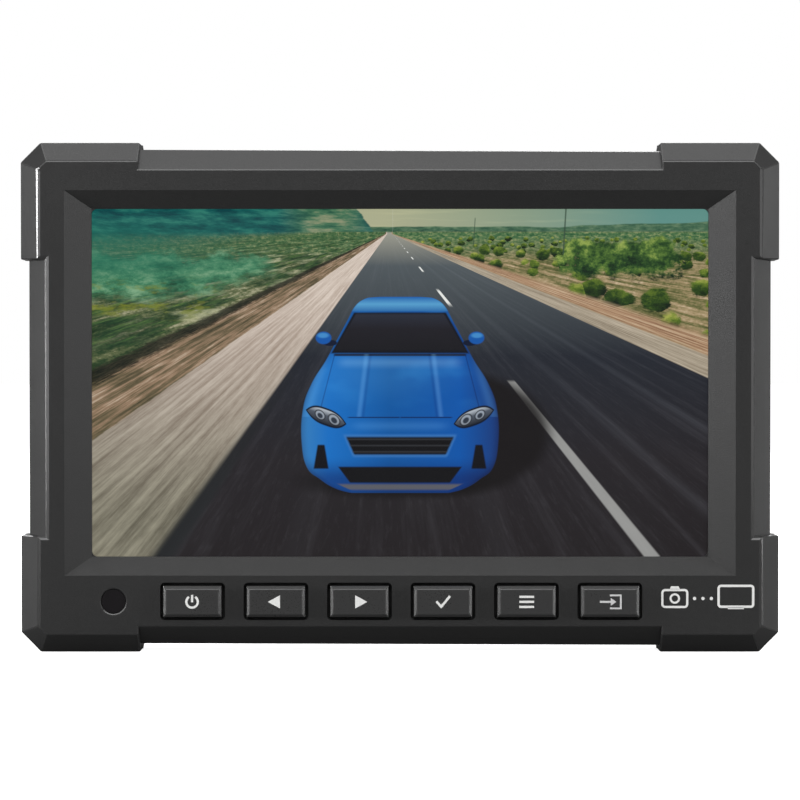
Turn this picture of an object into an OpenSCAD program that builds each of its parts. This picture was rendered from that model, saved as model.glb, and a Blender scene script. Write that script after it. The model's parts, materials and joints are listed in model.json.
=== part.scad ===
// Seven inch dashboard monitor of a backup camera kit.
// +X is to the viewer's right, +Y runs from the screen to the back, +Z is up.
// The origin is under the middle of the monitor, on the surface it stands on.

/* [Outline] */
// Width between the two side faces, without the corner guards
body_w = 185.5; // [184:0.5:190]
// Height between the top and bottom faces, without the corner guards
body_h = 123.2; // [122:0.2:126]
// Depth from the front face to the back panel
body_d = 26; // [26:0.5:32]
// How far the corner guards stand out past the side, top and bottom faces
guard_out = 2.1; // [1.5:0.1:3]
// Length of a corner guard along the top and bottom edges
guard_run = 29.8; // [26:0.2:34]
// Length of a corner guard along the side edges
guard_rise = 29.2; // [26:0.2:34]
// Leg of the 45 degree cut across each corner
guard_cut = 4.9; // [3:0.1:6]
// Width of the slanted band round the front face
front_bevel = 4.85; // [4:0.05:5.5]
// Depth of the slanted band round the front face
front_bevel_d = 5; // [4:0.5:6]
// Width of the slanted band round the back panel
back_bevel = 5.5; // [4.5:0.5:5.5]
// Depth of the slanted band round the back panel
back_bevel_d = 12; // [9:0.5:12.5]
// Thickness of the housing walls
wall = 2.2; // [2:0.1:2.4]

/* [Screen] */
// Visible width of the screen
screen_w = 153.9; // [150:0.1:155]
// Visible height of the screen
screen_h = 86.8; // [84:0.1:88]
// Height of the screen's middle above the middle of the body
screen_up = 3.7; // [3:0.1:4]
// Width of the recess where it meets the front face
recess_w = 166.9; // [164:0.1:167]
// Height of the recess where it meets the front face
recess_h = 95.8; // [94:0.1:96]
// Depth of the slanted recess round the screen
recess_d = 3; // [2.5:0.5:3]

/* [Buttons] */
// Width of a button cap
cap_w = 14.5; // [13:0.1:15]
// Height of a button cap
cap_h = 7.7; // [7:0.1:8]
// Gap between a cap and the edge of its hole
cap_gap = 0.8; // [0.3:0.1:0.9]
// How far a cap stands proud of the front face
cap_proud = 1.6; // [1:0.1:2]
// Distance from one button to the next
cap_pitch = 20.76; // [20:0.02:21]
// Height of the button row above the base
cap_z = 13.1; // [13:0.1:13.5]
// Travel of a pressed button
press_travel = 0.6; // [0.3:0.1:0.7]
// Distance of the light sensor to the left of the middle
sensor_x = 71.3; // [71:0.1:73]

/* [Mount] */
// Sideways distance between the mounting inserts
mount_dx = 38; // [36:1:40]
// Height between the mounting inserts
mount_dz = 30; // [28:1:32]
// How far the mounting pad stands out of the back panel
pad_out = 1.4; // [1:0.2:2]

/* [Hidden] */
$fn = 48;
e = 0.01; // overlap that keeps a cut or a union clean

// Planes and centres
total_d = cap_proud + body_d + pad_out;
face_y = cap_proud - total_d / 2;
back_y = face_y + body_d;
pad_y = back_y + pad_out;
part_y = face_y + 13;
mid_z = guard_out + body_h / 2;
screen_z = mid_z + screen_up;
guard_w = body_w + 2 * guard_out;
guard_h = body_h + 2 * guard_out;
inner_y = face_y + wall;
inner_back_y = back_y - wall;
bevel_inset = 0.586; // share of the wall by which a bevel shrinks inside it
lap_d = 2; // depth of the lip that the back housing slides into the front one
lap_t = 1; // thickness of that lip
seam_w = 0.4; // shadow line between the two housings
seam_d = 0.5;

// Housing screws
screw_x = 84.2;
screw_zs = [14.5, mid_z, 2 * mid_z - 14.5];
screw_places = [for (sx = [-1, 1], z = screw_zs) [sx * screw_x, z]];
screw_seat_y = face_y + 19;
screw_head_r = 2.7;
screw_head_h = 2;
screw_r = 1.4;
screw_tip_y = face_y + 5;
front_boss_r = 2.5;
front_boss_end_y = face_y + 15.9;
back_boss_r = 3.6;
board_boss_r = 3;
pilot_gap = 0.05; // a screw's pilot hole is drawn this much wider than the screw
cross_w = 0.7; // slot of a cross recess
cross_d = 1;

// Screen module, layer by layer from the front
lip_y = face_y + recess_d;
lip_t = 1;
opening_r = 1.4;
gasket_y = lip_y + lip_t;
gasket_t = 0.5;
lcd_y = gasket_y + gasket_t;
lcd_w = 162.6;
lcd_h = 96.4;
lcd_low = 4.2; // border below the visible screen
lcd_z = screen_z - screen_h / 2 - lcd_low + lcd_h / 2;
sheet_t = 0.3;
cell_y = lcd_y + sheet_t;
cell_w = 158.6;
cell_h = 92.4;
cell_t = 1.4;
film_w = 155.2;
film_h = 88.4;
film_y = cell_y + cell_t + 0.05;
film_t = 0.5;
guide_y = film_y + film_t + 0.05;
guide_t = 2;
led_strip_h = 2.4;
reflector_y = guide_y + guide_t + 0.05;
reflector_t = 0.2;
tray_y = reflector_y + reflector_t + 0.05;
tray_t = 0.4;
lcd_back_y = tray_y + tray_t;

// Brackets that hold the screen module
bracket_zs = [screen_z - 27, screen_z + 27];
bracket_places = [for (sx = [-1, 1], z = bracket_zs) [sx * screw_x, z]];
bracket_t = 0.8;
bracket_w = 8;
bracket_reach = 8; // how far a bracket laps over the module's edge
bracket_screw_tip_y = face_y + 4.8;
small_screw_r = 1.1;
small_head_r = 2.2;
small_head_h = 1.4;

// Buttons and the board behind them
BUTTONS = ["power", "left", "right", "select", "menu", "input"];
row_x = 0.3; // the row sits this far right of the middle
function cap_x(i) = row_x + (i - 2.5) * cap_pitch;
cap_edge = 0.8; // slanted edge of a cap
cap_edge_d = 0.6;
flange_y = inner_y + 0.1;
flange_t = 1;
flange_out = 1.4; // the flange is this much wider than the cap on each side
stem_r = 2.2;
plunger_y = face_y + 4.6;
plunger_r = 1.75;
plunger_len = 2.4;
switch_y = plunger_y + 1;
switch_side = 6;
switch_t = 3.2;
key_board_y = switch_y + switch_t;
board_t = 1.6;
key_board_low = 6;
key_board_h = 13;
key_board_x0 = -78;
key_board_x1 = 70;
key_board_places = [[-63.2, cap_z], [65.2, cap_z]];
key_screw_tip_y = face_y + 3.8;
sensor_r = 3.1;
lens_r = 2.95;
lens_set = 0.5; // the lens sits this far behind the front face

// Main board and what it carries
main_y = face_y + 12;
main_back_y = main_y + board_t;
main_w = 124;
main_low = 16.5;
main_h = 82;
main_places = [for (sx = [-1, 1], z = [main_low + 5, main_low + main_h - 5]) [sx * 56, z]];
chips = [ // X, Z, width, height and thickness
    [0, mid_z, 14, 14, 1.4],
    [-36, 62, 10, 8, 1.1],
    [34, 74, 7, 9, 1.1],
    [0, 88, 9, 9, 1],
    [-36, 44, 5, 6, 1.5]
];
can_z = 88;
can_w = 34;
can_h = 20;
can_depth = 3;
can_t = 0.3;
capacitor_places = [[-50, 32], [-41, 32], [-50, 74], [-41, 76]];
capacitor_r = 3.15;
capacitor_h = 5.8;
inductor_places = [[-50, 52], [-36, 86], [36, 88]];
inductor_side = 7;
inductor_h = 3.6;
lcd_ribbon_x = -18;
lcd_ribbon_w = 24;
key_ribbon_x = 30;
key_ribbon_w = 12;
ribbon_t = 0.2;
jack_z = 24.5;
dc_x = -22;
camera_x = 0;
av_x = 20;
jack_front_y = back_y - 0.4; // the sockets' noses stop just inside the back panel
jack_body_y = inner_back_y - 0.6;
camera_base_y = inner_back_y - 4.4;
dc_nose_r = 4.4;
dc_bore_r = 3.15;
dc_bore_len = 9.5;
dc_pin_r = 1.05;
camera_r = 5;
camera_bore_r = 4.3;
camera_core_r = 3.1;
contact_hole_r = 0.5;
contact_r = 0.4;
contact_deep = 4; // how far the contacts reach into the socket's base
av_nose_r = 3.4;
av_bore_r = 1.8;
av_bore_len = 11;
jack_gap = 0.3; // clearance of a nose in the back panel

// Mounting pad
pad_w = 62;
pad_h = 52;
insert_r = 2.8;
insert_bore_r = 1.65;
insert_len = 6;
mount_boss_r = 5;
mount_places = [for (sx = [-1, 1], sz = [-1, 1]) [sx * mount_dx / 2, mid_z + sz * mount_dz / 2]];

// Speaker, vents and label
speaker_x = 61;
speaker_z = 41;
speaker_r = 14;
gasket_ring_w = 2;
lead_w = 0.9;
lead_gap = 3;
grille_pitch = 4;
grille_hole_r = 1;
vent_len = 13;
vent_w = 2.2;
vent_pitch = 5;
vent_z = 106;
label_w = 37;
label_h = 23;
label_x = -60;
label_z = 42;
label_set = 0.25;
label_t = 0.15;

// ---------- shared shapes ----------

// A box given by its middle in X and Z, its size, and its front and back planes.
module block(x, z, w, h, y0, y1)
    translate([x - w / 2, y0, z - h / 2]) cube([w, y1 - y0, h]);

// A round bar along Y.
module bar(x, z, r, y0, y1)
    translate([x, y1, z]) rotate([90, 0, 0]) cylinder(r = r, h = y1 - y0);

// A flat shape drawn in X and Z, given thickness from y0 to y1.
module plate(y0, y1)
    translate([0, y1, 0]) rotate([90, 0, 0]) linear_extrude(y1 - y0) children();

// A rectangle with round corners, about the origin.
module round_rect(w, h, r) {
    square([w - 2 * r, h], center = true);
    square([w, h - 2 * r], center = true);
    for (sx = [-1, 1], sy = [-1, 1])
        translate([sx * (w / 2 - r), sy * (h / 2 - r)]) circle(r);
}

// A long prism whose section in depth is slanted at the front and at the back.
// It is turned about Y, so that several of them cut a block with slanted edges.
module band(turn, half, y0, y1, slant_0, deep_0, slant_1, deep_1, long = 260)
    rotate([0, turn, 0])
        linear_extrude(long, center = true)
            polygon([
                [slant_0 - half, y0],
                [half - slant_0, y0],
                [half, y0 + deep_0],
                [half, y1 - deep_1],
                [half - slant_1, y1],
                [slant_1 - half, y1],
                [-half, y1 - deep_1],
                [-half, y0 + deep_0]
            ]);

// The body's block, shrunk on every side by inset.
module body_block(inset) {
    shrink = bevel_inset * inset;
    front = front_bevel - shrink;
    front_d = front_bevel_d - shrink;
    back = back_bevel - shrink;
    back_d = back_bevel_d - shrink;
    translate([0, 0, mid_z])
        intersection() {
            band(0, body_w / 2 - inset, face_y + inset, back_y - inset, front, front_d, back, back_d);
            band(90, body_h / 2 - inset, face_y + inset, back_y - inset, front, front_d, back, back_d);
        }
}

// The larger block that the corner guards are cut from.
module guard_block()
    translate([0, 0, mid_z])
        intersection() {
            band(0, guard_w / 2, face_y, back_y, front_bevel, front_bevel_d, back_bevel, back_bevel_d);
            band(90, guard_h / 2, face_y, back_y, front_bevel, front_bevel_d, back_bevel, back_bevel_d);
        }

// What the slanted cuts across the four corners leave.
module corner_cuts() {
    half = (guard_w + guard_h - 2 * guard_cut) / 2 / sqrt(2);
    translate([0, 0, mid_z])
        intersection() {
            band(45, half, face_y, back_y, front_bevel, front_bevel_d, back_bevel, back_bevel_d);
            band(-45, half, face_y, back_y, front_bevel, front_bevel_d, back_bevel, back_bevel_d);
        }
}

// The whole outside of the closed housing.
module envelope()
    intersection() {
        corner_cuts();
        union() {
            body_block(0);
            intersection() {
                guard_block();
                for (sx = [-1, 1], sz = [-1, 1])
                    block(sx * (guard_w - guard_run) / 2, mid_z + sz * (guard_h - guard_rise) / 2,
                        guard_run, guard_rise, face_y - e, back_y + e);
            }
        }
    }

// A frame-shaped cut or wall between two rectangles of the body's proportions.
module body_ring(out_inset, in_inset, y0, y1)
    plate(y0, y1)
        translate([0, mid_z])
            difference() {
                square([body_w - 2 * out_inset, body_h - 2 * out_inset], center = true);
                square([body_w - 2 * in_inset, body_h - 2 * in_inset], center = true);
            }

// A four-sided funnel, w0 by h0 at y0 and w1 by h1 at y1, centred on the screen.
module funnel(w0, h0, w1, h1, y0, y1)
    translate([0, 0, screen_z])
        intersection() {
            linear_extrude(2 * recess_h, center = true)
                polygon([[-w0 / 2, y0], [w0 / 2, y0], [w1 / 2, y1], [-w1 / 2, y1]]);
            rotate([90, 0, 90])
                linear_extrude(2 * recess_w, center = true)
                    polygon([[y0, -h0 / 2], [y0, h0 / 2], [y1, h1 / 2], [y1, -h1 / 2]]);
        }

// A cross-recess screw along Y. Its head starts at seat_y and faces back, or front if back is -1.
module screw(place, seat_y, tip_y, r, head_r, head_h, back = 1) {
    outer_y = seat_y + back * head_h;
    cut_y = outer_y - back * cross_d;
    difference() {
        union() {
            bar(place[0], place[1], head_r, min(seat_y, outer_y), max(seat_y, outer_y));
            bar(place[0], place[1], r, min(seat_y, tip_y), max(seat_y, tip_y));
        }
        for (size = [[2.4 * r, cross_w], [cross_w, 2.4 * r]])
            block(place[0], place[1], size[0], size[1],
                min(outer_y + back * e, cut_y), max(outer_y + back * e, cut_y));
    }
}

// ---------- housing ----------

module front_bezel() color([0.13, 0.13, 0.13])
    difference() {
        union() {
            difference() {
                intersection() {
                    envelope();
                    block(0, mid_z, guard_w + 2, guard_h + 2, face_y - 1, part_y);
                }
                body_block(wall);
                body_ring(wall - lap_t - 0.1, wall + e, part_y - lap_d, part_y + e);
            }
            screen_wall();
            bezel_posts();
        }
        funnel(recess_w, recess_h, screen_w, screen_h, face_y, lip_y);
        block(0, screen_z, recess_w, recess_h, face_y - 1, face_y);
        plate(lip_y - e, gasket_y + e) translate([0, screen_z]) round_rect(screen_w, screen_h, opening_r);
        for (i = [0:5])
            plate(face_y - e, inner_y + e)
                translate([cap_x(i), cap_z]) round_rect(cap_w + 2 * cap_gap, cap_h + 2 * cap_gap, 1.1);
        bar(-sensor_x, cap_z, sensor_r, face_y - e, inner_y + e);
        for (p = screw_places)
            bar(p[0], p[1], screw_r + pilot_gap, screw_tip_y, front_boss_end_y + e);
        for (p = bracket_places)
            bar(p[0], p[1], small_screw_r + pilot_gap, bracket_screw_tip_y - 0.3, lcd_back_y + e);
        for (p = key_board_places)
            bar(p[0], p[1], small_screw_r + pilot_gap, key_screw_tip_y - 0.3, key_board_y + e);
    }

// The slanted wall of the recess, and the lip that the screen's gasket presses on.
module screen_wall() {
    skirt = 1.2;
    spread = 3;
    funnel(recess_w + 2 * skirt, recess_h + 2 * skirt, screen_w + spread, screen_h + spread,
        face_y + 0.5, lip_y);
    plate(lip_y - e, gasket_y) translate([0, screen_z]) square([screen_w + 6, screen_h + 6], center = true);
}

// Posts for the housing screws, the screen brackets and the button board.
module bezel_posts() {
    for (p = screw_places)
        bar(p[0], p[1], front_boss_r, inner_y - 0.5, front_boss_end_y);
    for (p = bracket_places)
        bar(p[0], p[1], front_boss_r, inner_y - 0.5, lcd_back_y);
    for (p = key_board_places)
        bar(p[0], p[1], front_boss_r, inner_y - 0.5, key_board_y);
}

module rear_housing() color([0.12, 0.12, 0.12])
    difference() {
        union() {
            difference() {
                intersection() {
                    envelope();
                    block(0, mid_z, guard_w + 2, guard_h + 2, part_y, back_y + 1);
                }
                body_block(wall);
            }
            body_ring(wall - lap_t, wall, part_y - lap_d + 0.1, part_y + e);
            block(0, mid_z, pad_w, pad_h, back_y - e, pad_y);
            rear_posts();
        }
        seam();
        for (p = screw_places) {
            bar(p[0], p[1], screw_head_r + 0.2, screw_seat_y, back_y + 1);
            bar(p[0], p[1], screw_r + 0.15, front_boss_end_y, screw_seat_y + e);
        }
        for (p = mount_places)
            bar(p[0], p[1], insert_r, pad_y - insert_len, pad_y + e);
        for (p = main_places)
            bar(p[0], p[1], small_screw_r + pilot_gap, main_back_y - e, main_back_y + 6.5);
        bar(dc_x, jack_z, dc_nose_r + jack_gap, inner_back_y - e, back_y + e);
        bar(camera_x, jack_z, camera_r + jack_gap, inner_back_y - e, back_y + e);
        bar(av_x, jack_z, av_nose_r + jack_gap, inner_back_y - e, back_y + e);
        grille_holes();
        vents();
        block(label_x, label_z, label_w + 0.6, label_h + 0.6, back_y - label_set, back_y + 1);
    }

// The shadow line where the two housings meet, cut round the body and the guards.
module seam()
    plate(part_y - e, part_y + seam_w)
        translate([0, mid_z])
            difference() {
                square([guard_w + 2, guard_h + 2], center = true);
                outline(seam_d);
            }

// The outline of the body with its corner guards, shrunk on every side by inset.
module outline(inset) {
    half_w = guard_w / 2 - inset;
    half_h = guard_h / 2 - inset;
    cut = guard_cut - bevel_inset * inset;
    run = guard_run - 2 * inset;
    rise = guard_rise - 2 * inset;
    intersection() {
        polygon([
            [cut - half_w, -half_h], [half_w - cut, -half_h],
            [half_w, cut - half_h], [half_w, half_h - cut],
            [half_w - cut, half_h], [cut - half_w, half_h],
            [-half_w, half_h - cut], [-half_w, cut - half_h]
        ]);
        union() {
            square([body_w - 2 * inset, body_h - 2 * inset], center = true);
            for (sx = [-1, 1], sy = [-1, 1])
                translate([sx * (half_w - run / 2), sy * (half_h - rise / 2)])
                    square([run, rise], center = true);
        }
    }
}

// Bosses inside the back housing, and the ring that locates the speaker.
module rear_posts() {
    for (p = screw_places)
        bar(p[0], p[1], back_boss_r, front_boss_end_y, inner_back_y + 0.5);
    for (p = mount_places)
        bar(p[0], p[1], mount_boss_r, pad_y - insert_len - 1.6, inner_back_y + 0.5);
    for (p = main_places)
        bar(p[0], p[1], board_boss_r, main_back_y, inner_back_y + 0.5);
    difference() {
        bar(speaker_x, speaker_z, speaker_r + 1.6, inner_back_y - 3, inner_back_y + 0.5);
        bar(speaker_x, speaker_z, speaker_r + 0.2, inner_back_y - 4, inner_back_y);
    }
}

// Round holes on a triangular grid in front of the speaker.
module grille_holes()
    for (i = [-2:2], j = [-2:2])
        if (abs(i + j) <= 2)
            bar(speaker_x + grille_pitch * (i + j / 2), speaker_z + grille_pitch * j * sin(60),
                grille_hole_r, inner_back_y - e, back_y + e);

// Two groups of upright slots with round ends.
module vents()
    for (side = [-1, 1], i = [-3:3])
        plate(inner_back_y - e, back_y + e)
            translate([side * 42 + i * vent_pitch, vent_z]) round_rect(vent_w, vent_len, vent_w / 2 - e);

module housing_screws() color([0.2, 0.2, 0.21])
    for (p = screw_places)
        screw(p, screw_seat_y, screw_tip_y, screw_r, screw_head_r, screw_head_h);

module mount_inserts() color([0.75, 0.6, 0.3])
    for (p = mount_places)
        difference() {
            bar(p[0], p[1], insert_r, pad_y - insert_len, pad_y);
            bar(p[0], p[1], insert_bore_r, pad_y - insert_len - e, pad_y + e);
        }

module rating_label() color([0.6, 0.6, 0.62])
    block(label_x, label_z, label_w, label_h, back_y - label_set, back_y - label_set + label_t);

// ---------- screen module ----------

// A rectangular ring about the screen module's middle.
module lcd_ring(w0, h0, w1, h1, y0, y1)
    difference() {
        block(0, lcd_z, w0, h0, y0, y1);
        block(0, lcd_z, w1, h1, y0 - e, y1 + e);
    }

module lcd_gasket() color([0.08, 0.08, 0.08])
    plate(gasket_y, lcd_y)
        difference() {
            translate([0, screen_z]) square([screen_w + 6, screen_h + 6], center = true);
            translate([0, screen_z]) square([screen_w + 1, screen_h + 1], center = true);
        }

module lcd_front_frame() color([0.7, 0.7, 0.72])
    difference() {
        block(0, lcd_z, lcd_w, lcd_h, lcd_y, lcd_back_y);
        block(0, lcd_z, lcd_w - 2 * sheet_t, lcd_h - 2 * sheet_t, cell_y, lcd_back_y + e);
        block(0, screen_z, screen_w + 2, screen_h + 2, lcd_y - e, cell_y + e);
    }

module lcd_cell() color([0.05, 0.12, 0.2])
    block(0, lcd_z, cell_w, cell_h, cell_y, cell_y + cell_t);

module lcd_mid_frame() color([0.85, 0.85, 0.85])
    difference() {
        block(0, lcd_z, lcd_w - 2 * sheet_t - 0.2, lcd_h - 2 * sheet_t - 0.2, cell_y, tray_y);
        block(0, lcd_z, cell_w + 0.2, cell_h + 0.2, cell_y - e, cell_y + cell_t);
        block(0, lcd_z, film_w + 0.2, film_h + 0.2, cell_y, tray_y + e);
    }

module lcd_optical_films() color([0.9, 0.9, 0.92])
    block(0, lcd_z, film_w, film_h, film_y, film_y + film_t);

module lcd_light_guide() color([0.85, 0.92, 0.95])
    block(0, lcd_z + led_strip_h / 2, film_w, film_h - led_strip_h, guide_y, guide_y + guide_t);

module lcd_led_strip() color([0.9, 0.8, 0.4])
    block(0, lcd_z - film_h / 2 + 0.25, film_w, 0.5, guide_y, guide_y + guide_t);

// The row of light-emitting diodes between the strip and the light guide.
module lcd_leds() color([0.95, 0.95, 0.8])
    for (i = [-9:9])
        block(i * 8, lcd_z - film_h / 2 + 1.35, 3.5, 1.6, guide_y + 0.4, guide_y + guide_t - 0.4);

module lcd_reflector() color([0.95, 0.95, 0.95])
    block(0, lcd_z, film_w, film_h, reflector_y, reflector_y + reflector_t);

module lcd_back_tray() color([0.72, 0.72, 0.74])
    block(0, lcd_z, lcd_w - 2 * sheet_t - 0.2, lcd_h - 2 * sheet_t - 0.2, tray_y, lcd_back_y);

// Flat steel tabs from the bezel's posts onto the back of the screen module.
module lcd_brackets() color([0.65, 0.65, 0.67])
    for (p = bracket_places) {
        side = sign(p[0]);
        outer = screw_x + 2.5;
        inner = lcd_w / 2 - bracket_reach;
        difference() {
            block(side * (outer + inner) / 2, p[1], outer - inner, bracket_w,
                lcd_back_y, lcd_back_y + bracket_t);
            bar(p[0], p[1], small_screw_r + 0.2, lcd_back_y - e, lcd_back_y + bracket_t + e);
        }
    }

module lcd_bracket_screws() color([0.75, 0.75, 0.77])
    for (p = bracket_places)
        screw(p, lcd_back_y + bracket_t, bracket_screw_tip_y, small_screw_r, small_head_r, small_head_h);

// A flat strip along X that follows points in Y and Z, t thick.
module ribbon(x, w, t, points)
    translate([x - w / 2, 0, 0])
        rotate([90, 0, 90])
            linear_extrude(w)
                polygon(concat(points, [for (i = [len(points) - 1:-1:0]) points[i] + [t, 0]]));

module lcd_ribbon() color([0.75, 0.5, 0.15])
    ribbon(lcd_ribbon_x, lcd_ribbon_w, ribbon_t, [
        [lcd_back_y, 28],
        [lcd_back_y, 36],
        [lcd_back_y + 0.5, 38.5],
        [main_y - 1.3, 42],
        [main_y - 1.1, 44],
        [main_y - 1.1, 48.2]
    ]);

// ---------- buttons and their board ----------

// A cap with slanted edges, the flange that stops it behind the face, and its stem.
module button_cap(i) color([0.15, 0.15, 0.15]) {
    front = face_y - cap_proud;
    intersection() {
        translate([cap_x(i), 0, cap_z])
            band(0, cap_w / 2, front, flange_y + e, cap_edge, cap_edge_d, 0, 0.1, 20);
        translate([cap_x(i), 0, cap_z])
            band(90, cap_h / 2, front, flange_y + e, cap_edge, cap_edge_d, 0, 0.1, 20);
    }
    block(cap_x(i), cap_z, cap_w + 2 * flange_out, cap_h + 2 * flange_out, flange_y, flange_y + flange_t);
    bar(cap_x(i), cap_z, stem_r, flange_y + flange_t - e, plunger_y);
}

module switch_plunger(i) color([0.1, 0.1, 0.1])
    bar(cap_x(i), cap_z, plunger_r, plunger_y, plunger_y + plunger_len);

module switch_housings() color([0.2, 0.2, 0.2])
    for (i = [0:5])
        difference() {
            block(cap_x(i), cap_z, switch_side, switch_side, switch_y, key_board_y);
            bar(cap_x(i), cap_z, plunger_r + 0.05,
                switch_y - e, plunger_y + plunger_len + press_travel + 0.1);
        }

module key_board() color([0.1, 0.35, 0.2])
    difference() {
        translate([key_board_x0, key_board_y, key_board_low])
            cube([key_board_x1 - key_board_x0, board_t, key_board_h]);
        for (p = key_board_places)
            bar(p[0], p[1], small_screw_r + 0.2, key_board_y - e, key_board_y + board_t + e);
    }

module key_board_screws() color([0.75, 0.75, 0.77])
    for (p = key_board_places)
        screw(p, key_board_y + board_t, key_screw_tip_y, small_screw_r, small_head_r, small_head_h);

module key_ribbon() color([0.85, 0.85, 0.8])
    ribbon(key_ribbon_x, key_ribbon_w, ribbon_t, [
        [key_board_y + board_t + 0.3, 11.8],
        [key_board_y + board_t + 0.3, 16],
        [key_board_y + board_t + 0.6, 18],
        [main_y - 1.1, 20.5],
        [main_y - 1.1, 24.2]
    ]);

// A dark window with a flange behind the face.
module sensor_lens() color([0.05, 0.03, 0.05]) {
    bar(-sensor_x, cap_z, lens_r, face_y + lens_set, inner_y + 0.5);
    bar(-sensor_x, cap_z, lens_r + 1, inner_y, inner_y + 0.8);
}

// The receiver stands on the button board behind the window.
module infrared_receiver() color([0.12, 0.12, 0.14]) {
    block(-sensor_x, cap_z, 5.6, 6.4, key_board_y - 3, key_board_y);
    bar(-sensor_x, cap_z, 2.2, key_board_y - 4.6, key_board_y - 3 + e);
}

// ---------- main board ----------

module main_board() color([0.08, 0.3, 0.18])
    difference() {
        block(0, main_low + main_h / 2, main_w, main_h, main_y, main_back_y);
        for (p = main_places)
            bar(p[0], p[1], small_screw_r + 0.2, main_y - e, main_back_y + e);
    }

module main_board_screws() color([0.75, 0.75, 0.77])
    for (p = main_places)
        screw(p, main_y, main_back_y + 6, small_screw_r, small_head_r, small_head_h, -1);

// A pressed steel lid over the video circuit.
module shield_can() color([0.78, 0.78, 0.8])
    difference() {
        block(0, can_z, can_w, can_h, main_back_y, main_back_y + can_depth);
        block(0, can_z, can_w - 2 * can_t, can_h - 2 * can_t,
            main_back_y - e, main_back_y + can_depth - can_t);
    }

module board_chips() color([0.07, 0.07, 0.07])
    for (c = chips)
        block(c[0], c[1], c[2], c[3], main_back_y, main_back_y + c[4]);

module board_capacitors() color([0.7, 0.7, 0.75])
    for (p = capacitor_places)
        bar(p[0], p[1], capacitor_r, main_back_y, main_back_y + capacitor_h);

module board_inductors() color([0.3, 0.28, 0.26])
    for (p = inductor_places)
        difference() {
            block(p[0], p[1], inductor_side, inductor_side, main_back_y, main_back_y + inductor_h);
            bar(p[0], p[1], 1.5, main_back_y + inductor_h - 0.6, main_back_y + inductor_h + e);
        }

// Sockets for the screen ribbon, the button ribbon at both ends, and the speaker.
module board_connectors() color([0.85, 0.82, 0.75]) {
    block(lcd_ribbon_x, 50.2, lcd_ribbon_w + 3, 4, main_y - 1.4, main_y);
    block(key_ribbon_x, 26.2, key_ribbon_w + 2, 4, main_y - 1.4, main_y);
    block(key_ribbon_x, 9.8, key_ribbon_w + 2, 4, key_board_y + board_t, key_board_y + board_t + 1.2);
    block(42, 41, 5, 6, main_back_y, main_back_y + 4);
}

module dc_power_jack() color([0.1, 0.1, 0.1])
    difference() {
        union() {
            block(dc_x, jack_z, 9.4, 9.4, main_back_y, jack_body_y);
            bar(dc_x, jack_z, dc_nose_r, jack_body_y - e, jack_front_y);
        }
        bar(dc_x, jack_z, dc_bore_r, jack_front_y - dc_bore_len, jack_front_y + e);
    }

module camera_socket_base() color([0.1, 0.1, 0.1])
    difference() {
        union() {
            block(camera_x, jack_z, 12, 12, main_back_y, camera_base_y);
            bar(camera_x, jack_z, camera_core_r, camera_base_y - e, jack_front_y - 0.8);
        }
        for (p = contact_places())
            bar(p[0], p[1], contact_hole_r, camera_base_y - contact_deep, jack_front_y);
    }

// The four contact holes of the camera socket.
function contact_places() = [for (a = [45:90:315]) [camera_x + 1.7 * cos(a), jack_z + 1.7 * sin(a)]];

module camera_socket_shell() color([0.75, 0.75, 0.78])
    difference() {
        bar(camera_x, jack_z, camera_r, camera_base_y, jack_front_y);
        bar(camera_x, jack_z, camera_bore_r, camera_base_y - e, jack_front_y + e);
    }

module av_jack() color([0.1, 0.1, 0.1])
    difference() {
        union() {
            block(av_x, jack_z, 8, 8, main_back_y, jack_body_y);
            bar(av_x, jack_z, av_nose_r, jack_body_y - e, jack_front_y);
        }
        bar(av_x, jack_z, av_bore_r, jack_front_y - av_bore_len, jack_front_y + e);
    }

// The power socket's centre pin and the camera socket's four contacts.
module jack_contacts() color([0.8, 0.65, 0.3]) {
    bar(dc_x, jack_z, dc_pin_r, jack_front_y - dc_bore_len, jack_front_y - 1);
    for (p = contact_places())
        bar(p[0], p[1], contact_r, camera_base_y - contact_deep, jack_front_y - 1.4);
}

// ---------- speaker ----------

// A ring about the speaker's axis. Its section is drawn as radius and distance from the back wall.
module speaker_turned()
    translate([speaker_x, inner_back_y, speaker_z]) rotate([90, 0, 0]) rotate_extrude() children();

module speaker_gasket() color([0.05, 0.05, 0.05])
    speaker_turned() translate([speaker_r - gasket_ring_w, 0]) square([gasket_ring_w, 0.8]);

module speaker_frame() color([0.2, 0.2, 0.22])
    speaker_turned()
        polygon([
            [speaker_r, 0.8],
            [speaker_r, 1.6],
            [speaker_r - 1.8, 1.6],
            [8, 5],
            [8, 5.6],
            [4, 5.6],
            [4, 5],
            [7.2, 5],
            [speaker_r - 2.6, 1.4],
            [speaker_r - 2.6, 0.8]
        ]);

module speaker_cone() color([0.15, 0.14, 0.13])
    speaker_turned()
        polygon([
            [11.3, 1],
            [11.3, 1.3],
            [10.2, 1.1],
            [4.2, 4],
            [0, 2.8],
            [0, 2.5],
            [4.2, 3.7],
            [10.2, 0.8]
        ]);

module speaker_magnet() color([0.35, 0.35, 0.37])
    speaker_turned() translate([0, 5.6]) square([7.4, 2.8]);

// Two insulated leads from the speaker's tags to their socket on the main board.
module speaker_leads() color([0.6, 0.1, 0.1])
    for (side = [-1, 1]) {
        path = [
            [speaker_x - 8.2, inner_back_y - 6.6],
            [speaker_x - 10.4, inner_back_y - 6.6],
            [speaker_x - 13.4, inner_back_y - 8],
            [speaker_x - 15, main_back_y + 2.4],
            [speaker_x - 16.4, main_back_y + 2.2]
        ];
        translate([0, 0, speaker_z + side * lead_gap / 2 - lead_w / 2])
            linear_extrude(lead_w)
                polygon(concat(path, [for (i = [len(path) - 1:-1:0]) path[i] + [0, lead_w]]));
    }

// ---------- what is drawn ----------

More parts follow.
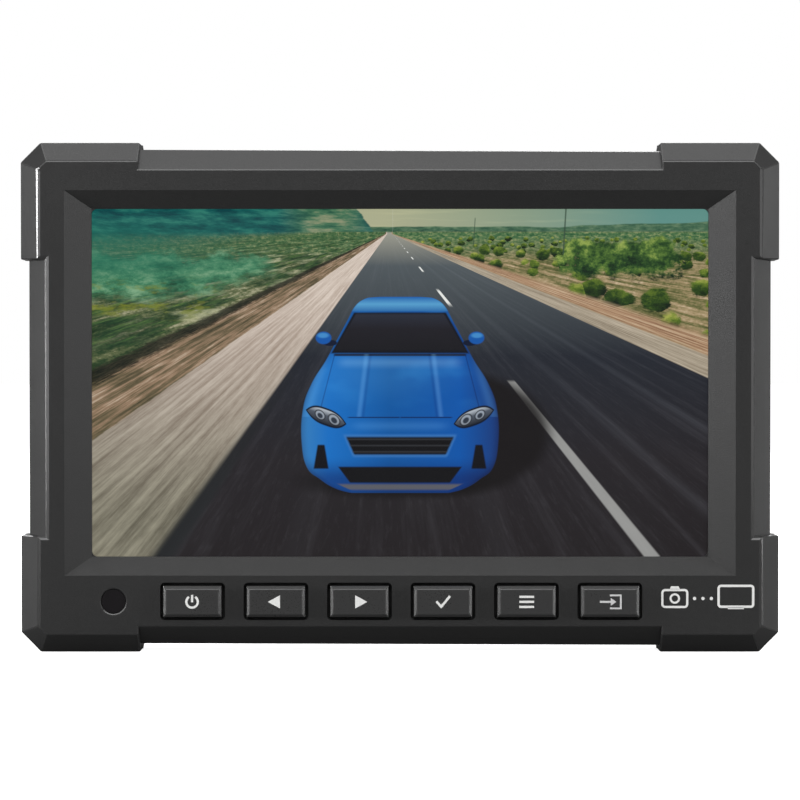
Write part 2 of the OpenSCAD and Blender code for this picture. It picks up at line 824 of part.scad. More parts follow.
front_bezel();
rear_housing();
housing_screws();
mount_inserts();
rating_label();
lcd_gasket();
lcd_front_frame();
lcd_cell();
lcd_mid_frame();
lcd_optical_films();
lcd_light_guide();
lcd_led_strip();
lcd_leds();
lcd_reflector();
lcd_back_tray();
lcd_brackets();
lcd_bracket_screws();
lcd_ribbon();
for (i = [0:5]) {
    button_cap(i);
    switch_plunger(i);
}
key_board();
switch_housings();
key_board_screws();
key_ribbon();
sensor_lens();
infrared_receiver();
main_board();
main_board_screws();
shield_can();
board_chips();
board_capacitors();
board_inductors();
board_connectors();
dc_power_jack();
camera_socket_base();
camera_socket_shell();
av_jack();
jack_contacts();
speaker_gasket();
speaker_frame();
speaker_cone();
speaker_magnet();
speaker_leads();
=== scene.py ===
"""Looks of the backup camera monitor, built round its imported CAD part.

Metres, in the CAD's frame: +X to the right of the screen, -Y out of it towards the viewer, +Z up.
"""

import json
import math

import bmesh
import bpy
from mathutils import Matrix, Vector


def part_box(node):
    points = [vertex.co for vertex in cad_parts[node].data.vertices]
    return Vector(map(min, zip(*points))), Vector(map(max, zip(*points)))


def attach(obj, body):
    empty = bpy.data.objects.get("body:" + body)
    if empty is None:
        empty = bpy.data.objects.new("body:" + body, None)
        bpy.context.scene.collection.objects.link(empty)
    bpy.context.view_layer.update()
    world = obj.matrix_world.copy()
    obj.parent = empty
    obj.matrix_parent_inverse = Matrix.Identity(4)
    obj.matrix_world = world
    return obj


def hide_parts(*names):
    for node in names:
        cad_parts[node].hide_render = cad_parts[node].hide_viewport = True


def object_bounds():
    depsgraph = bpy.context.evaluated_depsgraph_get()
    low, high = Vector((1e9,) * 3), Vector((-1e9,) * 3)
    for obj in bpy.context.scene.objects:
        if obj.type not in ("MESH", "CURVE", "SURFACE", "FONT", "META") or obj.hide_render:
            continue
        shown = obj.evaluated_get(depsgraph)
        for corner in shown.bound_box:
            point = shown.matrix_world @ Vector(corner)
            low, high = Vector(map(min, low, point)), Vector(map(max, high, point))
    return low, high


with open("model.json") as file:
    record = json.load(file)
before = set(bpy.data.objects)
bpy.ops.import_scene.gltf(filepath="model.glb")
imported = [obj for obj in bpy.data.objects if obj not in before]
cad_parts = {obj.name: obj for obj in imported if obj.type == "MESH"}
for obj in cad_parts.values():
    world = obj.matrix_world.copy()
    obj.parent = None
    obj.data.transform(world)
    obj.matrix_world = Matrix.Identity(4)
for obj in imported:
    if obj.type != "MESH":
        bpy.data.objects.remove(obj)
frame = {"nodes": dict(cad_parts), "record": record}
cad_low, cad_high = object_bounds()
cad_middle = (cad_low + cad_high) / 2

MM = 0.001
KEYS = ("power", "left", "right", "select", "menu", "input")


# ---------- numbers and colours worked out by shader nodes ----------


def add_node(tree, kind):
    """A new shader node, by its kind's name without "ShaderNode"."""
    return tree.nodes.new("ShaderNode" + kind)


def feed(tree, slot, value):
    """Sets a node's input to a plain value, or links it to the number or colour given."""
    if isinstance(value, Num):
        tree.links.new(value.socket, slot)
    elif isinstance(value, bpy.types.NodeSocket):
        tree.links.new(value, slot)
    else:
        slot.default_value = value


def calc(tree, operation, *values):
    """A Math node over the values."""
    node = add_node(tree, "Math")
    node.operation = operation
    for slot, value in zip(node.inputs, values):
        feed(tree, slot, value)
    return Num(tree, node.outputs[0])


def both_ways(operation):
    """Two methods for an operation: with the Num on its left, and on its right."""
    return lambda a, b: calc(a.tree, operation, a, b), lambda a, b: calc(a.tree, operation, b, a)


class Num:
    """A number that shader nodes work out at each point of a surface."""

    __add__, __radd__ = both_ways("ADD")
    __sub__, __rsub__ = both_ways("SUBTRACT")
    __mul__, __rmul__ = both_ways("MULTIPLY")
    __truediv__, __rtruediv__ = both_ways("DIVIDE")
    __pow__, __rpow__ = both_ways("POWER")

    def __init__(self, tree, socket):
        self.tree = tree
        self.socket = socket

    def __abs__(self):
        return calc(self.tree, "ABSOLUTE", self)

    def most(self, other):
        """The larger of the two."""
        return calc(self.tree, "MAXIMUM", self, other)

    def least(self, other):
        """The smaller of the two."""
        return calc(self.tree, "MINIMUM", self, other)

    def step(self, low, high):
        """0 below low, 1 above high, and smooth between them."""
        node = add_node(self.tree, "MapRange")
        node.interpolation_type = "SMOOTHSTEP"
        for slot, value in zip(node.inputs, (self, low, high)):
            feed(self.tree, slot, value)
        return Num(self.tree, node.outputs[0])

    def band(self, low, high, soft):
        """1 between low and high, with edges this soft."""
        return self.step(low - soft, low + soft) * (1.0 - self.step(high - soft, high + soft))

    def repeat(self):
        """What is left after the whole number, so 0 to 1 again and again."""
        return calc(self.tree, "FRACT", self)

    def curve(self, *points):
        """The number looked up on a smooth curve through points of (number, result), all 0 to 1."""
        node = add_node(self.tree, "FloatCurve")
        line = node.mapping.curves[0]
        for _ in points[2:]:
            line.points.new(0.5, 0.5)
        for spot, place in zip(line.points, points):
            spot.location = place
        node.mapping.update()
        feed(self.tree, node.inputs["Value"], self)
        return Num(self.tree, node.outputs[0])


def rgb(red, green, blue):
    """A linear colour from the three numbers, 0 to 255, that a screen shows it with."""
    parts = [c / 255 for c in (red, green, blue)]
    return (*[p / 12.92 if p <= 0.04045 else ((p + 0.055) / 1.055) ** 2.4 for p in parts], 1.0)


def position(tree):
    """Where a point is at rest, in metres, as three numbers."""
    place = add_node(tree, "TexCoord")
    parts = add_node(tree, "SeparateXYZ")
    tree.links.new(place.outputs["Object"], parts.inputs[0])
    return [Num(tree, parts.outputs[i]) for i in range(3)]


def noise(x, y, detail=3.0, rough=0.55, seed=0.0):
    """Smooth noise from 0 to 1 that changes about once per unit of x, y and seed."""
    tree = x.tree
    place = add_node(tree, "CombineXYZ")
    for slot, value in zip(place.inputs, (x, y, seed)):
        feed(tree, slot, value)
    node = add_node(tree, "TexNoise")
    node.inputs["Scale"].default_value = 1.0
    node.inputs["Detail"].default_value = detail
    node.inputs["Roughness"].default_value = rough
    tree.links.new(place.outputs[0], node.inputs["Vector"])
    return Num(tree, node.outputs[0])


def grain(tree, size, detail=2.0, rough=0.5, stretch=(1.0, 1.0, 1.0)):
    """Noise with features of this size in metres, stretched along the axes."""
    x, y, z = position(tree)
    wide, deep, tall = (s * size for s in stretch)
    return noise(x / wide, y / deep, detail, rough, z / tall)


def cells(tree, size):
    """Grains of this size in metres: each one's distance to its middle, and a number of its own."""
    node = add_node(tree, "TexVoronoi")
    node.inputs["Scale"].default_value = 1.0 / size
    place = add_node(tree, "TexCoord")
    tree.links.new(place.outputs["Object"], node.inputs["Vector"])
    parts = add_node(tree, "SeparateColor")
    tree.links.new(node.outputs["Color"], parts.inputs[0])
    return Num(tree, node.outputs["Distance"]), Num(tree, parts.outputs[0])


def ramp(tree, value, *stops):
    """A colour looked up along stops of (position, colour)."""
    node = add_node(tree, "ValToRGB")
    line = node.color_ramp
    for _ in stops[2:]:
        line.elements.new(0.5)
    for stop, (place, _) in zip(line.elements, stops):
        stop.position = place
    for stop, (_, colour) in zip(line.elements, stops):
        stop.color = colour
    feed(tree, node.inputs["Fac"], value)
    return node.outputs["Color"]


def shades(value, *stops):
    """A colour looked up along stops of (position, red, green, blue), as rgb takes them."""
    return ramp(value.tree, value, *[(place, rgb(*colour)) for place, *colour in stops])


class Canvas:
    """A picture built up in layers of colour, each over a mask from 0 to 1."""

    def __init__(self, tree, colour):
        self.tree = tree
        self.colour = colour

    def blend(self, how, mask, colour):
        """Mixes the colour in where the mask is, in one of the Mix node's ways."""
        node = add_node(self.tree, "Mix")
        node.data_type = "RGBA"
        node.blend_type = how
        feed(self.tree, node.inputs["Factor"], mask)
        feed(self.tree, node.inputs[6], self.colour)
        feed(self.tree, node.inputs[7], colour)
        self.colour = node.outputs[2]

    def cover(self, mask, colour):
        self.blend("MIX", mask, colour)

    def darken(self, mask, colour):
        self.blend("MULTIPLY", mask, colour)

    def lighten(self, mask, colour):
        self.blend("ADD", mask, colour)


def add_object(name, data):
    """A new object in the scene."""
    made = bpy.data.objects.new(name, data)
    bpy.context.scene.collection.objects.link(made)
    return made


# ---------- finishes ----------


def material(paint):
    """Turns a function that says what each of a shader's inputs is set to into one that makes a material.

    What it makes takes a name before the function's own values. "height" is the relief in metres.
    """

    def make(name, *values):
        made = bpy.data.materials.new(name)
        made.use_nodes = True
        tree = made.node_tree
        shader = tree.nodes["Principled BSDF"]
        facts = paint(tree, *values)
        bump = add_node(tree, "Bump")
        bump.inputs["Strength"].default_value = 1.0
        bump.inputs["Distance"].default_value = 1.0
        feed(tree, bump.inputs["Height"], facts.pop("height"))
        tree.links.new(bump.outputs["Normal"], shader.inputs["Normal"])
        for slot, value in facts.items():
            feed(tree, shader.inputs[slot], value)
        return made

    return make


def scaled(tree, colour, amount):
    """The colour made lighter or darker by a number round 1."""
    node = add_node(tree, "VectorMath")
    node.operation = "SCALE"
    feed(tree, node.inputs[0], colour[:3])
    feed(tree, node.inputs["Scale"], amount)
    return node.outputs[0]


@material
def moulded(tree, colour, grain_size, grain_height, rough, shade_from=None):
    """Plastic from a spark eroded mould: a fine even grain, flow marks, and painted shade behind a given
    depth, darker and rougher there, for the shade in the gap round a keycap.
    """
    away, own = cells(tree, grain_size)
    fine = grain(tree, grain_size * 0.6, 3.0, 0.6)
    flow = grain(tree, 38 * MM, 3.0, 0.5, (1.6, 1.0, 0.5))
    touch = grain(tree, 9 * MM, 4.0, 0.6)
    tone = 0.84 + 0.14 * own + 0.12 * fine + 0.12 * flow
    dull = rough - 0.05 + 0.05 * own + 0.10 * touch * flow
    if shade_from is not None:
        # painted shade: darker and rougher behind this depth, where the gap round a keycap lies in shade
        gap_shade = position(tree)[1].step(shade_from, shade_from + 0.4 * MM)
        tone = tone * (1.0 - 0.85 * gap_shade)
        dull = dull + 0.4 * gap_shade
    return {
        "Base Color": scaled(tree, colour, tone),
        "Roughness": dull,
        "height": (fine - 0.6 * away) * grain_height,
    }


@material
def smooth_plastic(tree, colour, rough):
    """Plastic from a polished mould, with faint waves and fine scratches."""
    wave = grain(tree, 6 * MM, 2.0)
    scratch = grain(tree, 0.3 * MM, 3.0, 0.6, (14.0, 14.0, 1.0)).step(0.62, 0.7)
    return {
        "Base Color": scaled(tree, colour, 0.9 + 0.2 * wave),
        "Roughness": rough + 0.08 * wave + 0.1 * scratch,
        "height": (wave - 0.05 * scratch) * 4e-6,
    }


@material
def metal(tree, colour, rough, size=0.12 * MM, stretch=(1.0, 1.0, 8.0), stain=None):
    """Worked metal with fine grain, drawn out along an axis or two, and patches of a duller colour."""
    line = grain(tree, size, 3.0, 0.65, stretch)
    patch = grain(tree, 2.5 * MM, 4.0, 0.6)
    canvas = Canvas(tree, scaled(tree, colour, 0.85 + 0.3 * line))
    canvas.cover(patch.step(0.5, 0.75) * 0.5, stain or scaled(tree, colour, 0.6 + 0.2 * line))
    return {
        "Base Color": canvas.colour,
        "Metallic": 1.0,
        "Roughness": rough + 0.12 * patch + 0.12 * line,
        "height": line * 3e-6,
    }


@material
def coated_steel(tree, colour):
    """Blackened screws: dark oxide, worn to bare steel in small spots."""
    patch = grain(tree, 0.8 * MM, 4.0, 0.6)
    worn = grain(tree, 0.35 * MM, 3.0, 0.6).step(0.56, 0.66)
    canvas = Canvas(tree, scaled(tree, colour, 0.7 + 0.6 * patch))
    canvas.cover(worn * 0.7, rgb(130, 128, 124))
    return {
        "Base Color": canvas.colour,
        "Metallic": 0.85,
        "Roughness": 0.34 + 0.16 * patch,
        "height": patch * 6e-6,
    }


@material
def spangled_steel(tree):
    """Zinc coated sheet, with the coating's large crystals."""
    away, own = cells(tree, 5 * MM)
    roll = grain(tree, 0.2 * MM, 3.0, 0.6, (30.0, 1.0, 1.0))
    tone = 0.8 + 0.25 * own + 0.1 * roll
    return {
        "Base Color": scaled(tree, rgb(176, 180, 184), tone),
        "Metallic": 1.0,
        "Roughness": 0.3 + 0.14 * own + 0.06 * roll,
        "height": (away + 0.2 * roll) * 2e-6,
    }


@material
def foam(tree):
    """Closed cell foam: many small bubbles cut open."""
    away, own = cells(tree, 0.22 * MM)
    return {
        "Base Color": scaled(tree, rgb(44, 44, 46), 0.7 + 0.5 * own),
        "Roughness": 0.86 + 0.08 * own,
        "height": away * 0.06 * MM,
    }


@material
def paper(tree):
    """Pressed pulp with long fibres."""
    fibre = grain(tree, 0.14 * MM, 4.0, 0.7, (3.0, 1.0, 1.0))
    cloud = grain(tree, 3 * MM, 3.0)
    return {
        "Base Color": scaled(tree, rgb(52, 50, 50), 0.7 + 0.4 * fibre + 0.2 * cloud),
        "Roughness": 0.82 + 0.1 * fibre,
        "height": fibre * 0.03 * MM,
    }


@material
def board(tree):
    """A circuit board: green lacquer over copper tracks, with plated holes."""
    x, _, z = position(tree)
    away, _ = cells(tree, 2.6 * MM)
    bend = (noise(x / (9 * MM), z / (9 * MM), 1.0) * 6.0).step(2.6, 3.4)
    along = (x / (0.8 * MM)).repeat() * (1.0 - bend) + (z / (0.8 * MM)).repeat() * bend
    track = along.band(0.3, 0.7, 0.06) * noise(x / (14 * MM), z / (14 * MM), seed=2.0).step(0.45, 0.5)
    hole = 1.0 - away.step(0.1, 0.13)
    canvas = Canvas(tree, scaled(tree, rgb(14, 74, 42), 0.85 + 0.3 * grain(tree, 4 * MM)))
    canvas.cover(track * 0.8, rgb(26, 104, 58))
    canvas.cover(hole, rgb(196, 190, 172))
    # the dark middle of each plated hole is painted shade inside it
    canvas.cover(1.0 - away.step(0.05, 0.07), rgb(20, 18, 14))
    return {
        "Base Color": canvas.colour,
        "Metallic": hole * 0.8,
        "Roughness": 0.3 + 0.1 * track,
        "height": (track + hole) * 0.02 * MM,
    }


@material
def flex(tree):
    """Amber polyimide film with copper lines showing through it."""
    x, y, z = position(tree)
    line = ((x + y + z) / (0.5 * MM)).repeat().band(0.3, 0.7, 0.08)
    cloud = grain(tree, 2 * MM)
    canvas = Canvas(tree, scaled(tree, rgb(178, 104, 30), 0.85 + 0.3 * cloud))
    canvas.cover(line * 0.6, rgb(138, 62, 14))
    return {
        "Base Color": canvas.colour,
        "Roughness": 0.28 + 0.12 * cloud,
        "height": line * 0.01 * MM,
    }


@material
def insulation(tree):
    """The speaker's two leads, one red and one black."""
    low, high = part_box("speaker_leads")
    _, _, z = position(tree)
    cloud = grain(tree, 0.5 * MM)
    canvas = Canvas(tree, scaled(tree, rgb(170, 20, 18), 0.85 + 0.3 * cloud))
    middle = (low.z + high.z) / 2
    canvas.cover(z.step(middle, middle + 0.01 * MM), rgb(20, 20, 20))
    return {"Base Color": canvas.colour, "Roughness": 0.35 + 0.15 * cloud, "height": cloud * 5e-6}


@material
def lamp(tree):
    """Backlight lamps: white plastic, yellow in specks."""
    dots = grain(tree, 0.1 * MM, 2.0)
    return {
        "Base Color": shades(dots, (0.35, 232, 204, 90), (0.6, 240, 236, 222)),
        "Roughness": 0.3 + 0.2 * dots,
        "height": dots * 4e-6,
    }


@material
def clear_sheet(tree, colour, dot):
    """The backlight's clear or milky sheets, with rows of fine dots."""
    x, _, z = position(tree)
    rows = (z / dot).repeat().band(0.25, 0.75, 0.2) * (x / dot).repeat().band(0.25, 0.75, 0.2)
    return {
        "Base Color": scaled(tree, colour, 0.92 + 0.08 * rows),
        "Roughness": 0.25 + 0.2 * rows,
        "height": rows * 5e-6,
    }


@material
def dark_window(tree):
    """Tinted plastic that only infrared light goes through: deep, smooth and very glossy."""
    wave = grain(tree, 1.5 * MM, 2.0)
    speck = grain(tree, 0.1 * MM, 2.0).step(0.68, 0.76)
    return {
        "Base Color": scaled(tree, (0.0035, 0.0025, 0.0035), 0.8 + 0.5 * wave),
        "Roughness": 0.06 + 0.04 * wave + 0.2 * speck,
        "height": wave * 6e-6,
    }


@material
def blank_label(tree):
    """Silver grey film with a printed frame and empty ruled fields."""
    low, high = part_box("rating_label")
    x, _, z = position(tree)
    x = (x - (low.x + high.x) / 2) / MM
    z = (z - (low.z + high.z) / 2) / MM
    half_w, half_h = (high.x - low.x) / 2 / MM, (high.z - low.z) / 2 / MM
    reach = (abs(x) - half_w).most(abs(z) - half_h)
    inside = 1.0 - reach.step(-1.62, -1.56)
    rim = reach.band(-1.6, -1.3, 0.04)
    rows = (z / 3.4 + 0.5).repeat().band(0.47, 0.53, 0.012) * inside
    split = x.band(-5.1, -4.9, 0.04) * inside
    mottle = grain(tree, 0.15 * MM, 3.0, 0.6)
    canvas = Canvas(tree, scaled(tree, rgb(176, 178, 180), 0.92 + 0.14 * mottle))
    canvas.cover(rim.most(rows).most(split) * 0.9, rgb(24, 24, 26))
    return {
        "Base Color": canvas.colour,
        "Roughness": 0.34 + 0.12 * mottle,
        "Metallic": 0.35,
        "height": mottle * 4e-6,
    }


@material
def ink(tree, colour):
    """Screen printed ink: slightly uneven, with tiny pinholes."""
    cover = grain(tree, 0.25 * MM, 3.0, 0.6)
    pinhole = grain(tree, 0.09 * MM, 2.0).step(0.7, 0.76)
    return {
        "Base Color": scaled(tree, colour, 0.9 + 0.16 * cover - 0.4 * pinhole),
        "Roughness": 0.45 + 0.15 * cover,
        "height": (cover - pinhole) * 3e-6,
    }


# ---------- the picture on the screen ----------
# x runs to the right and z up, in screen heights from the middle of the screen.

VANISH_X = -0.034
VANISH_Z = 0.433
# How tall the lit area is, and how far its middle lies above the glass' middle, in metres.
SCREEN_TALL = 86.8 * MM
SCREEN_LIFT = -0.6 * MM


def road_scene(x, z):
    """An open road between fields, seen from above a car that comes towards the viewer."""
    tree = x.tree
    distance = 1.0 / (VANISH_Z - z).most(0.004)  # along the ground
    side = (x - VANISH_X) * distance  # constant along every line to the vanishing point
    reach = calc(tree, "LOGARITHM", distance, 2.0)
    canvas = Canvas(tree, sky(x, z))
    hills(canvas, x, z)
    soft = 0.006 + 0.14 * (-0.2 - x).most(0.0)  # the haze at the left hides the horizon
    ground = (VANISH_Z + 0.004 - z).step(0.0, soft)
    fields(canvas, x, z, side, reach, ground)
    scatter_bushes(canvas, x, z, side, reach, ground)
    tree_line(canvas, x, z)
    verges(canvas, z, side, reach, ground)
    asphalt(canvas, z, side, reach, ground)
    markings(canvas, z, side, distance)
    poles(canvas, x, z)
    return canvas


def sky(x, z):
    """A hazy sky, olive in the middle and greener to the right."""
    haze = shades(x + 0.1, (0.05, 168, 170, 138), (0.45, 136, 154, 131), (0.85, 92, 140, 132))
    canvas = Canvas(x.tree, haze)
    streaks = noise(x * 5.0 + z * 9.0, z * 70.0, 3.0, seed=5.0)
    canvas.lighten(streaks.step(0.5, 0.75) * (1.0 - x.step(0.3, 0.8)) * 0.5, rgb(88, 84, 58))
    return canvas.colour


def hills(canvas, x, z):
    """Low hills along the skyline, and a steep one on the left."""
    flat = x * 0.0
    rough = noise(x * 26.0, z * 90.0, 5.0, 0.7, seed=1.0)
    rise = 0.452 + 0.03 * (x - 0.45).most(0.0) + 0.022 * (noise(x * 4.0, flat, 4.0, seed=3.0) - 0.5)
    land = (rise - z).step(0.0, 0.004)
    stops = (0.34, 34, 70, 54), (0.5, 66, 102, 76), (0.66, 104, 130, 100)
    canvas.cover(land, shades(rough, *stops))
    ragged = 0.03 * noise(z * 40.0, flat, 4.0, seed=2.0)
    left = ((-0.09 + ragged - x) - (z - 0.44) * 0.8).step(0.0, 0.006)
    mass = noise(x * 11.0 + z * 14.0, z * 46.0, 6.0, 0.66, seed=4.0)
    stops = (0.36, 6, 62, 66), (0.5, 16, 88, 84), (0.64, 44, 118, 104)
    canvas.cover(left, shades(mass, *stops))
    slope = x.band(-0.3, -0.11, 0.06) * left
    stops = (0.38, 36, 84, 62), (0.5, 76, 118, 84), (0.64, 150, 150, 116)
    canvas.cover(slope * 0.85, shades(mass, *stops))


def fields(canvas, x, z, side, reach, ground):
    """Grass, sand and stones, blurred along the lines to the vanishing point."""
    blur = noise(side * 3.4, reach * 2.6, 6.0, 0.68, seed=7.0)
    fleck = noise(x * 70.0, z * 130.0, 4.0, 0.7, seed=9.0)
    mix = blur * 0.72 + fleck * 0.28
    stops = (0.34, 16, 34, 20), (0.45, 44, 66, 38), (0.54, 96, 104, 70), (0.64, 176, 172, 142)
    canvas.cover(ground, shades(mix, *stops))
    pale = noise(side * 0.8, reach * 4.0, 4.0, 0.6, seed=10.0).step(0.5, 0.62) * (z - 0.1).step(0.0, 0.1)
    stops = (0.38, 92, 106, 74), (0.6, 184, 184, 150)
    canvas.cover(ground * pale * 0.8, shades(mix, *stops))
    stops = (0.36, 52, 62, 26), (0.46, 104, 104, 62), (0.55, 160, 140, 104), (0.66, 206, 186, 156)
    canvas.cover(ground * x.step(-0.03, 0.0), shades(mix, *stops))
    far = (z - 0.34).step(0.0, 0.06)
    stops = (0.38, 38, 84, 50), (0.52, 82, 116, 74), (0.64, 136, 146, 100)
    canvas.cover(ground * far * 0.8, shades(fleck, *stops))
    canvas.cover(ground * (z - 0.405).step(0.0, 0.015), shades(fleck, *stops))


def clumps(x, z, size, seed):
    """Round clumps of this size: how far from one's middle, where that is, and its own number."""
    tree = x.tree
    place = add_node(tree, "CombineXYZ")
    for slot, value in zip(place.inputs, (x / size + seed, z * 1.25 / size)):
        feed(tree, slot, value)
    node = add_node(tree, "TexVoronoi")
    node.voronoi_dimensions = "2D"
    node.inputs["Scale"].default_value = 1.0
    tree.links.new(place.outputs[0], node.inputs["Vector"])
    middle = add_node(tree, "SeparateXYZ")
    tree.links.new(node.outputs["Position"], middle.inputs[0])
    own = add_node(tree, "SeparateColor")
    tree.links.new(node.outputs["Color"], own.inputs[0])
    middle_x = (Num(tree, middle.outputs[0]) - seed) * size
    middle_z = Num(tree, middle.outputs[1]) * (size / 1.25)
    return Num(tree, node.outputs["Distance"]), middle_x, middle_z, Num(tree, own.outputs[0])


def scatter_bushes(canvas, x, z, side, reach, ground):
    """Bushes that shrink with the distance: upright on the right, blurred by the speed on the left."""
    rows = (0.022, 0.375, 0.418, 3.0), (0.045, 0.31, 0.385, 9.0), (0.095, 0.12, 0.33, 6.4)
    for size, low, high, seed in rows:
        leaf = noise(x * 0.9 / size, z * 1.3 / size, 5.0, 0.75, seed=31.0)
        away, middle_x, middle_z, own = clumps(x, z, size, seed)
        beside = (middle_x - VANISH_X) / (VANISH_Z - middle_z)
        inside = beside.step(3.0, 3.05) * middle_z.band(low, high, 0.002)
        mask = 1.0 - (away + 0.8 * (leaf - 0.5) + 0.25 * own).step(0.42, 0.54)
        light = leaf * 1.1 + (z - middle_z) * (0.5 / size) + 0.22 * own - 0.16
        stops = (0.28, 14, 30, 12), (0.42, 40, 66, 20), (0.58, 96, 118, 38), (0.76, 172, 176, 84)
        canvas.cover(mask * inside, shades(light, *stops))
    smear = noise(side * 7.0, reach * 3.0, 5.0, 0.7, seed=32.0)
    patch = noise(side * 1.3, reach * 2.2, 3.0, 0.5, seed=33.0)
    mask = (patch + 0.3 * (smear - 0.5)).step(0.47, 0.56)
    stops = (0.34, 10, 28, 18), (0.48, 26, 58, 34), (0.6, 72, 104, 54), (0.7, 138, 150, 78)
    canvas.cover(mask * ground * (1.0 - side.step(-2.35, -2.15)) * 0.8, shades(smear, *stops))


def tree_line(canvas, x, z):
    """Trees blurred by the speed, in the haze at the left, and a darker wood at the right."""
    flat = x * 0.0
    crown = noise(x * 10.0, z * 20.0, 7.0, 0.72, seed=41.0)
    tops = 0.385 + 0.12 * (noise(x * 6.0, flat, 4.0, 0.6, seed=42.0) - 0.5) - 0.2 * (x + 0.5).most(0.0)
    foot = 0.25 + 0.3 * (x + 0.62).most(0.0)
    ragged = 0.1 * (crown - 0.5)
    band = (tops + ragged - z).step(0.0, 0.03) * (z + ragged - foot).step(-0.03, 0.03)
    left = band * (1.0 - x.step(-0.42, -0.32))
    stops = (0.32, 14, 58, 38), (0.43, 36, 100, 72), (0.53, 72, 134, 98), (0.66, 128, 172, 134)
    canvas.cover(left * 0.9, shades(crown, *stops))
    haze = (1.0 - x.step(-0.9, -0.3)) * z.band(0.31, 0.44, 0.05)
    canvas.cover(haze * 0.6, rgb(28, 108, 88))
    glow = noise(x * 9.0, z * 26.0, 4.0, 0.66, seed=44.0).step(0.5, 0.64)
    canvas.cover(glow * z.band(0.19, 0.285, 0.03) * (1.0 - x.step(-0.64, -0.4)) * 0.7, rgb(122, 130, 38))
    wood = noise(x * 20.0, z * 24.0, 6.0, 0.72, seed=45.0)
    top = 0.405 + 0.12 * (noise(x * 9.0, flat, 5.0, 0.6, seed=46.0) - 0.42)
    right = (top - z).step(0.0, 0.012) * (z - 0.3 - 0.14 * (wood - 0.5)).step(-0.01, 0.02)
    light = wood + (z - 0.35) * 1.2
    stops = (0.36, 12, 34, 16), (0.46, 34, 66, 28), (0.56, 78, 110, 46), (0.66, 142, 162, 78)
    canvas.cover(right * (x + 0.3 * (wood - 0.5)).band(0.47, 0.8, 0.02), shades(light, *stops))


def verges(canvas, z, side, reach, ground):
    """The sandy strips beside the asphalt."""
    streak = noise(side * 24.0, reach * 1.4, 5.0, 0.66, seed=12.0)
    grit = noise(side * 40.0, reach * 14.0, 3.0, 0.7, seed=14.0)
    tone = streak * 0.8 + grit * 0.2
    wander = 0.16 * (noise(side * 0.0, reach * 4.0, 5.0, 0.66, seed=13.0) - 0.5)
    low = (0.3 - z).step(0.0, 0.75)
    patch = noise(side * 7.0, reach * 3.0, 4.0, 0.6, seed=17.0)
    earth = tone * 0.6 + patch * 0.4
    stops = (0.38, 54, 52, 36), (0.47, 104, 92, 68), (0.54, 150, 124, 100), (0.62, 194, 178, 156)
    canvas.cover(ground * (side + wander).band(-1.98, -1.4, 0.05), shades(earth, *stops))
    ditch = (side + wander * 1.6 + 0.24 * (grit - 0.5)).band(-2.16, -1.93, 0.05)
    canvas.cover(ground * ditch * 0.9, shades(grit, (0.4, 12, 14, 10), (0.62, 50, 46, 34)))
    soil = shades(tone, (0.36, 112, 80, 58), (0.5, 168, 134, 104), (0.64, 204, 182, 152))
    canvas.cover(ground * (side - wander * 1.5).band(2.55, 3.1, 0.16), soil)
    dry = (side + wander * 0.4).band(-1.42, -0.6, 0.01)
    sand = shades(tone, (0.38, 166, 148, 134), (0.62, 206, 192, 180))
    canvas.cover(ground * dry, sand)
    canvas.lighten(ground * dry * z.step(0.05, 0.35) * 0.6, rgb(120, 118, 112))
    grey = shades(tone, (0.38, 98, 94, 80), (0.62, 148, 144, 126))
    canvas.cover(ground * dry * low, grey)
    gravel = shades(tone, (0.38, 132, 120, 102), (0.62, 188, 176, 156))
    canvas.cover(ground * side.band(2.1, 2.6, 0.03), gravel)


def asphalt(canvas, z, side, reach, ground):
    """Dark asphalt with worn tracks, and a darker edge on the left."""
    road = ground * side.band(-0.72, 2.2, 0.012)
    depth = (z + 0.5) / 0.93
    stops = (0.0, 30, 26, 27), (0.3, 34, 31, 34), (0.62, 32, 36, 44), (0.9, 78, 86, 90)
    canvas.cover(road, shades(depth, *stops, (1.0, 150, 150, 138)))
    streak = noise(side * 14.0, reach * 0.8, 5.0, 0.66, seed=15.0)
    grit = noise(side * 60.0, reach * 12.0, 3.0, 0.7, seed=16.0)
    canvas.lighten(road * streak.step(0.46, 0.72) * 0.6, rgb(40, 40, 43))
    canvas.lighten(road * grit.step(0.5, 0.75) * 0.5, rgb(34, 34, 36))
    for lane, light in ((1.15, 0.6), (1.62, 0.75), (-0.3, 0.25), (0.35, 0.3)):
        canvas.lighten(road * side.band(lane - 0.015, lane + 0.015, 0.05) * light, rgb(48, 50, 54))
    canvas.cover(ground * side.band(-0.735, -0.66, 0.02) * (1.0 - z.step(-0.4, 0.2)) * 0.85, rgb(30, 33, 34))


def markings(canvas, z, side, distance):
    """A solid line that turns into dashes far away."""
    line = (side - 0.01 * distance).band(0.78, 0.829, 0.005)
    solid = 1.0 - z.step(0.0, 0.01)
    dashes = (distance * 0.245 + 0.02).repeat().band(0.2, 0.5, 0.05) * z.step(0.13, 0.14)
    worn = 0.8 + 0.3 * noise(side * 30.0, distance * 8.0, 4.0, 0.7, seed=51.0)
    canvas.cover((line * solid * worn).least(1.0), rgb(150, 150, 148))
    canvas.cover(line * dashes, rgb(228, 230, 226))


def poles(canvas, x, z):
    """Two thin posts in the field on the right."""
    for place, low, high, width in ((0.212, 0.395, 0.475, 0.0012), (0.472, 0.37, 0.55, 0.0022)):
        lean = x - (z - 0.4) * 0.06
        post = lean.band(place - width, place + width, 0.0012) * z.band(low, high, 0.003)
        canvas.cover(post * 0.8, rgb(52, 74, 58))


# ---------- the car in the picture ----------
# Its own unit is CAR screen heights, from the middle of the screen.

CAR = 0.288


def oval(x, z, x0, z0, half_w, half_h, soft=0.12):
    """1 inside an ellipse, with an edge this soft as a share of its size."""
    away = (((x - x0) / half_w) ** 2.0 + ((z - z0) / half_h) ** 2.0) ** 0.5
    return 1.0 - away.step(1.0 - soft, 1.0 + soft)


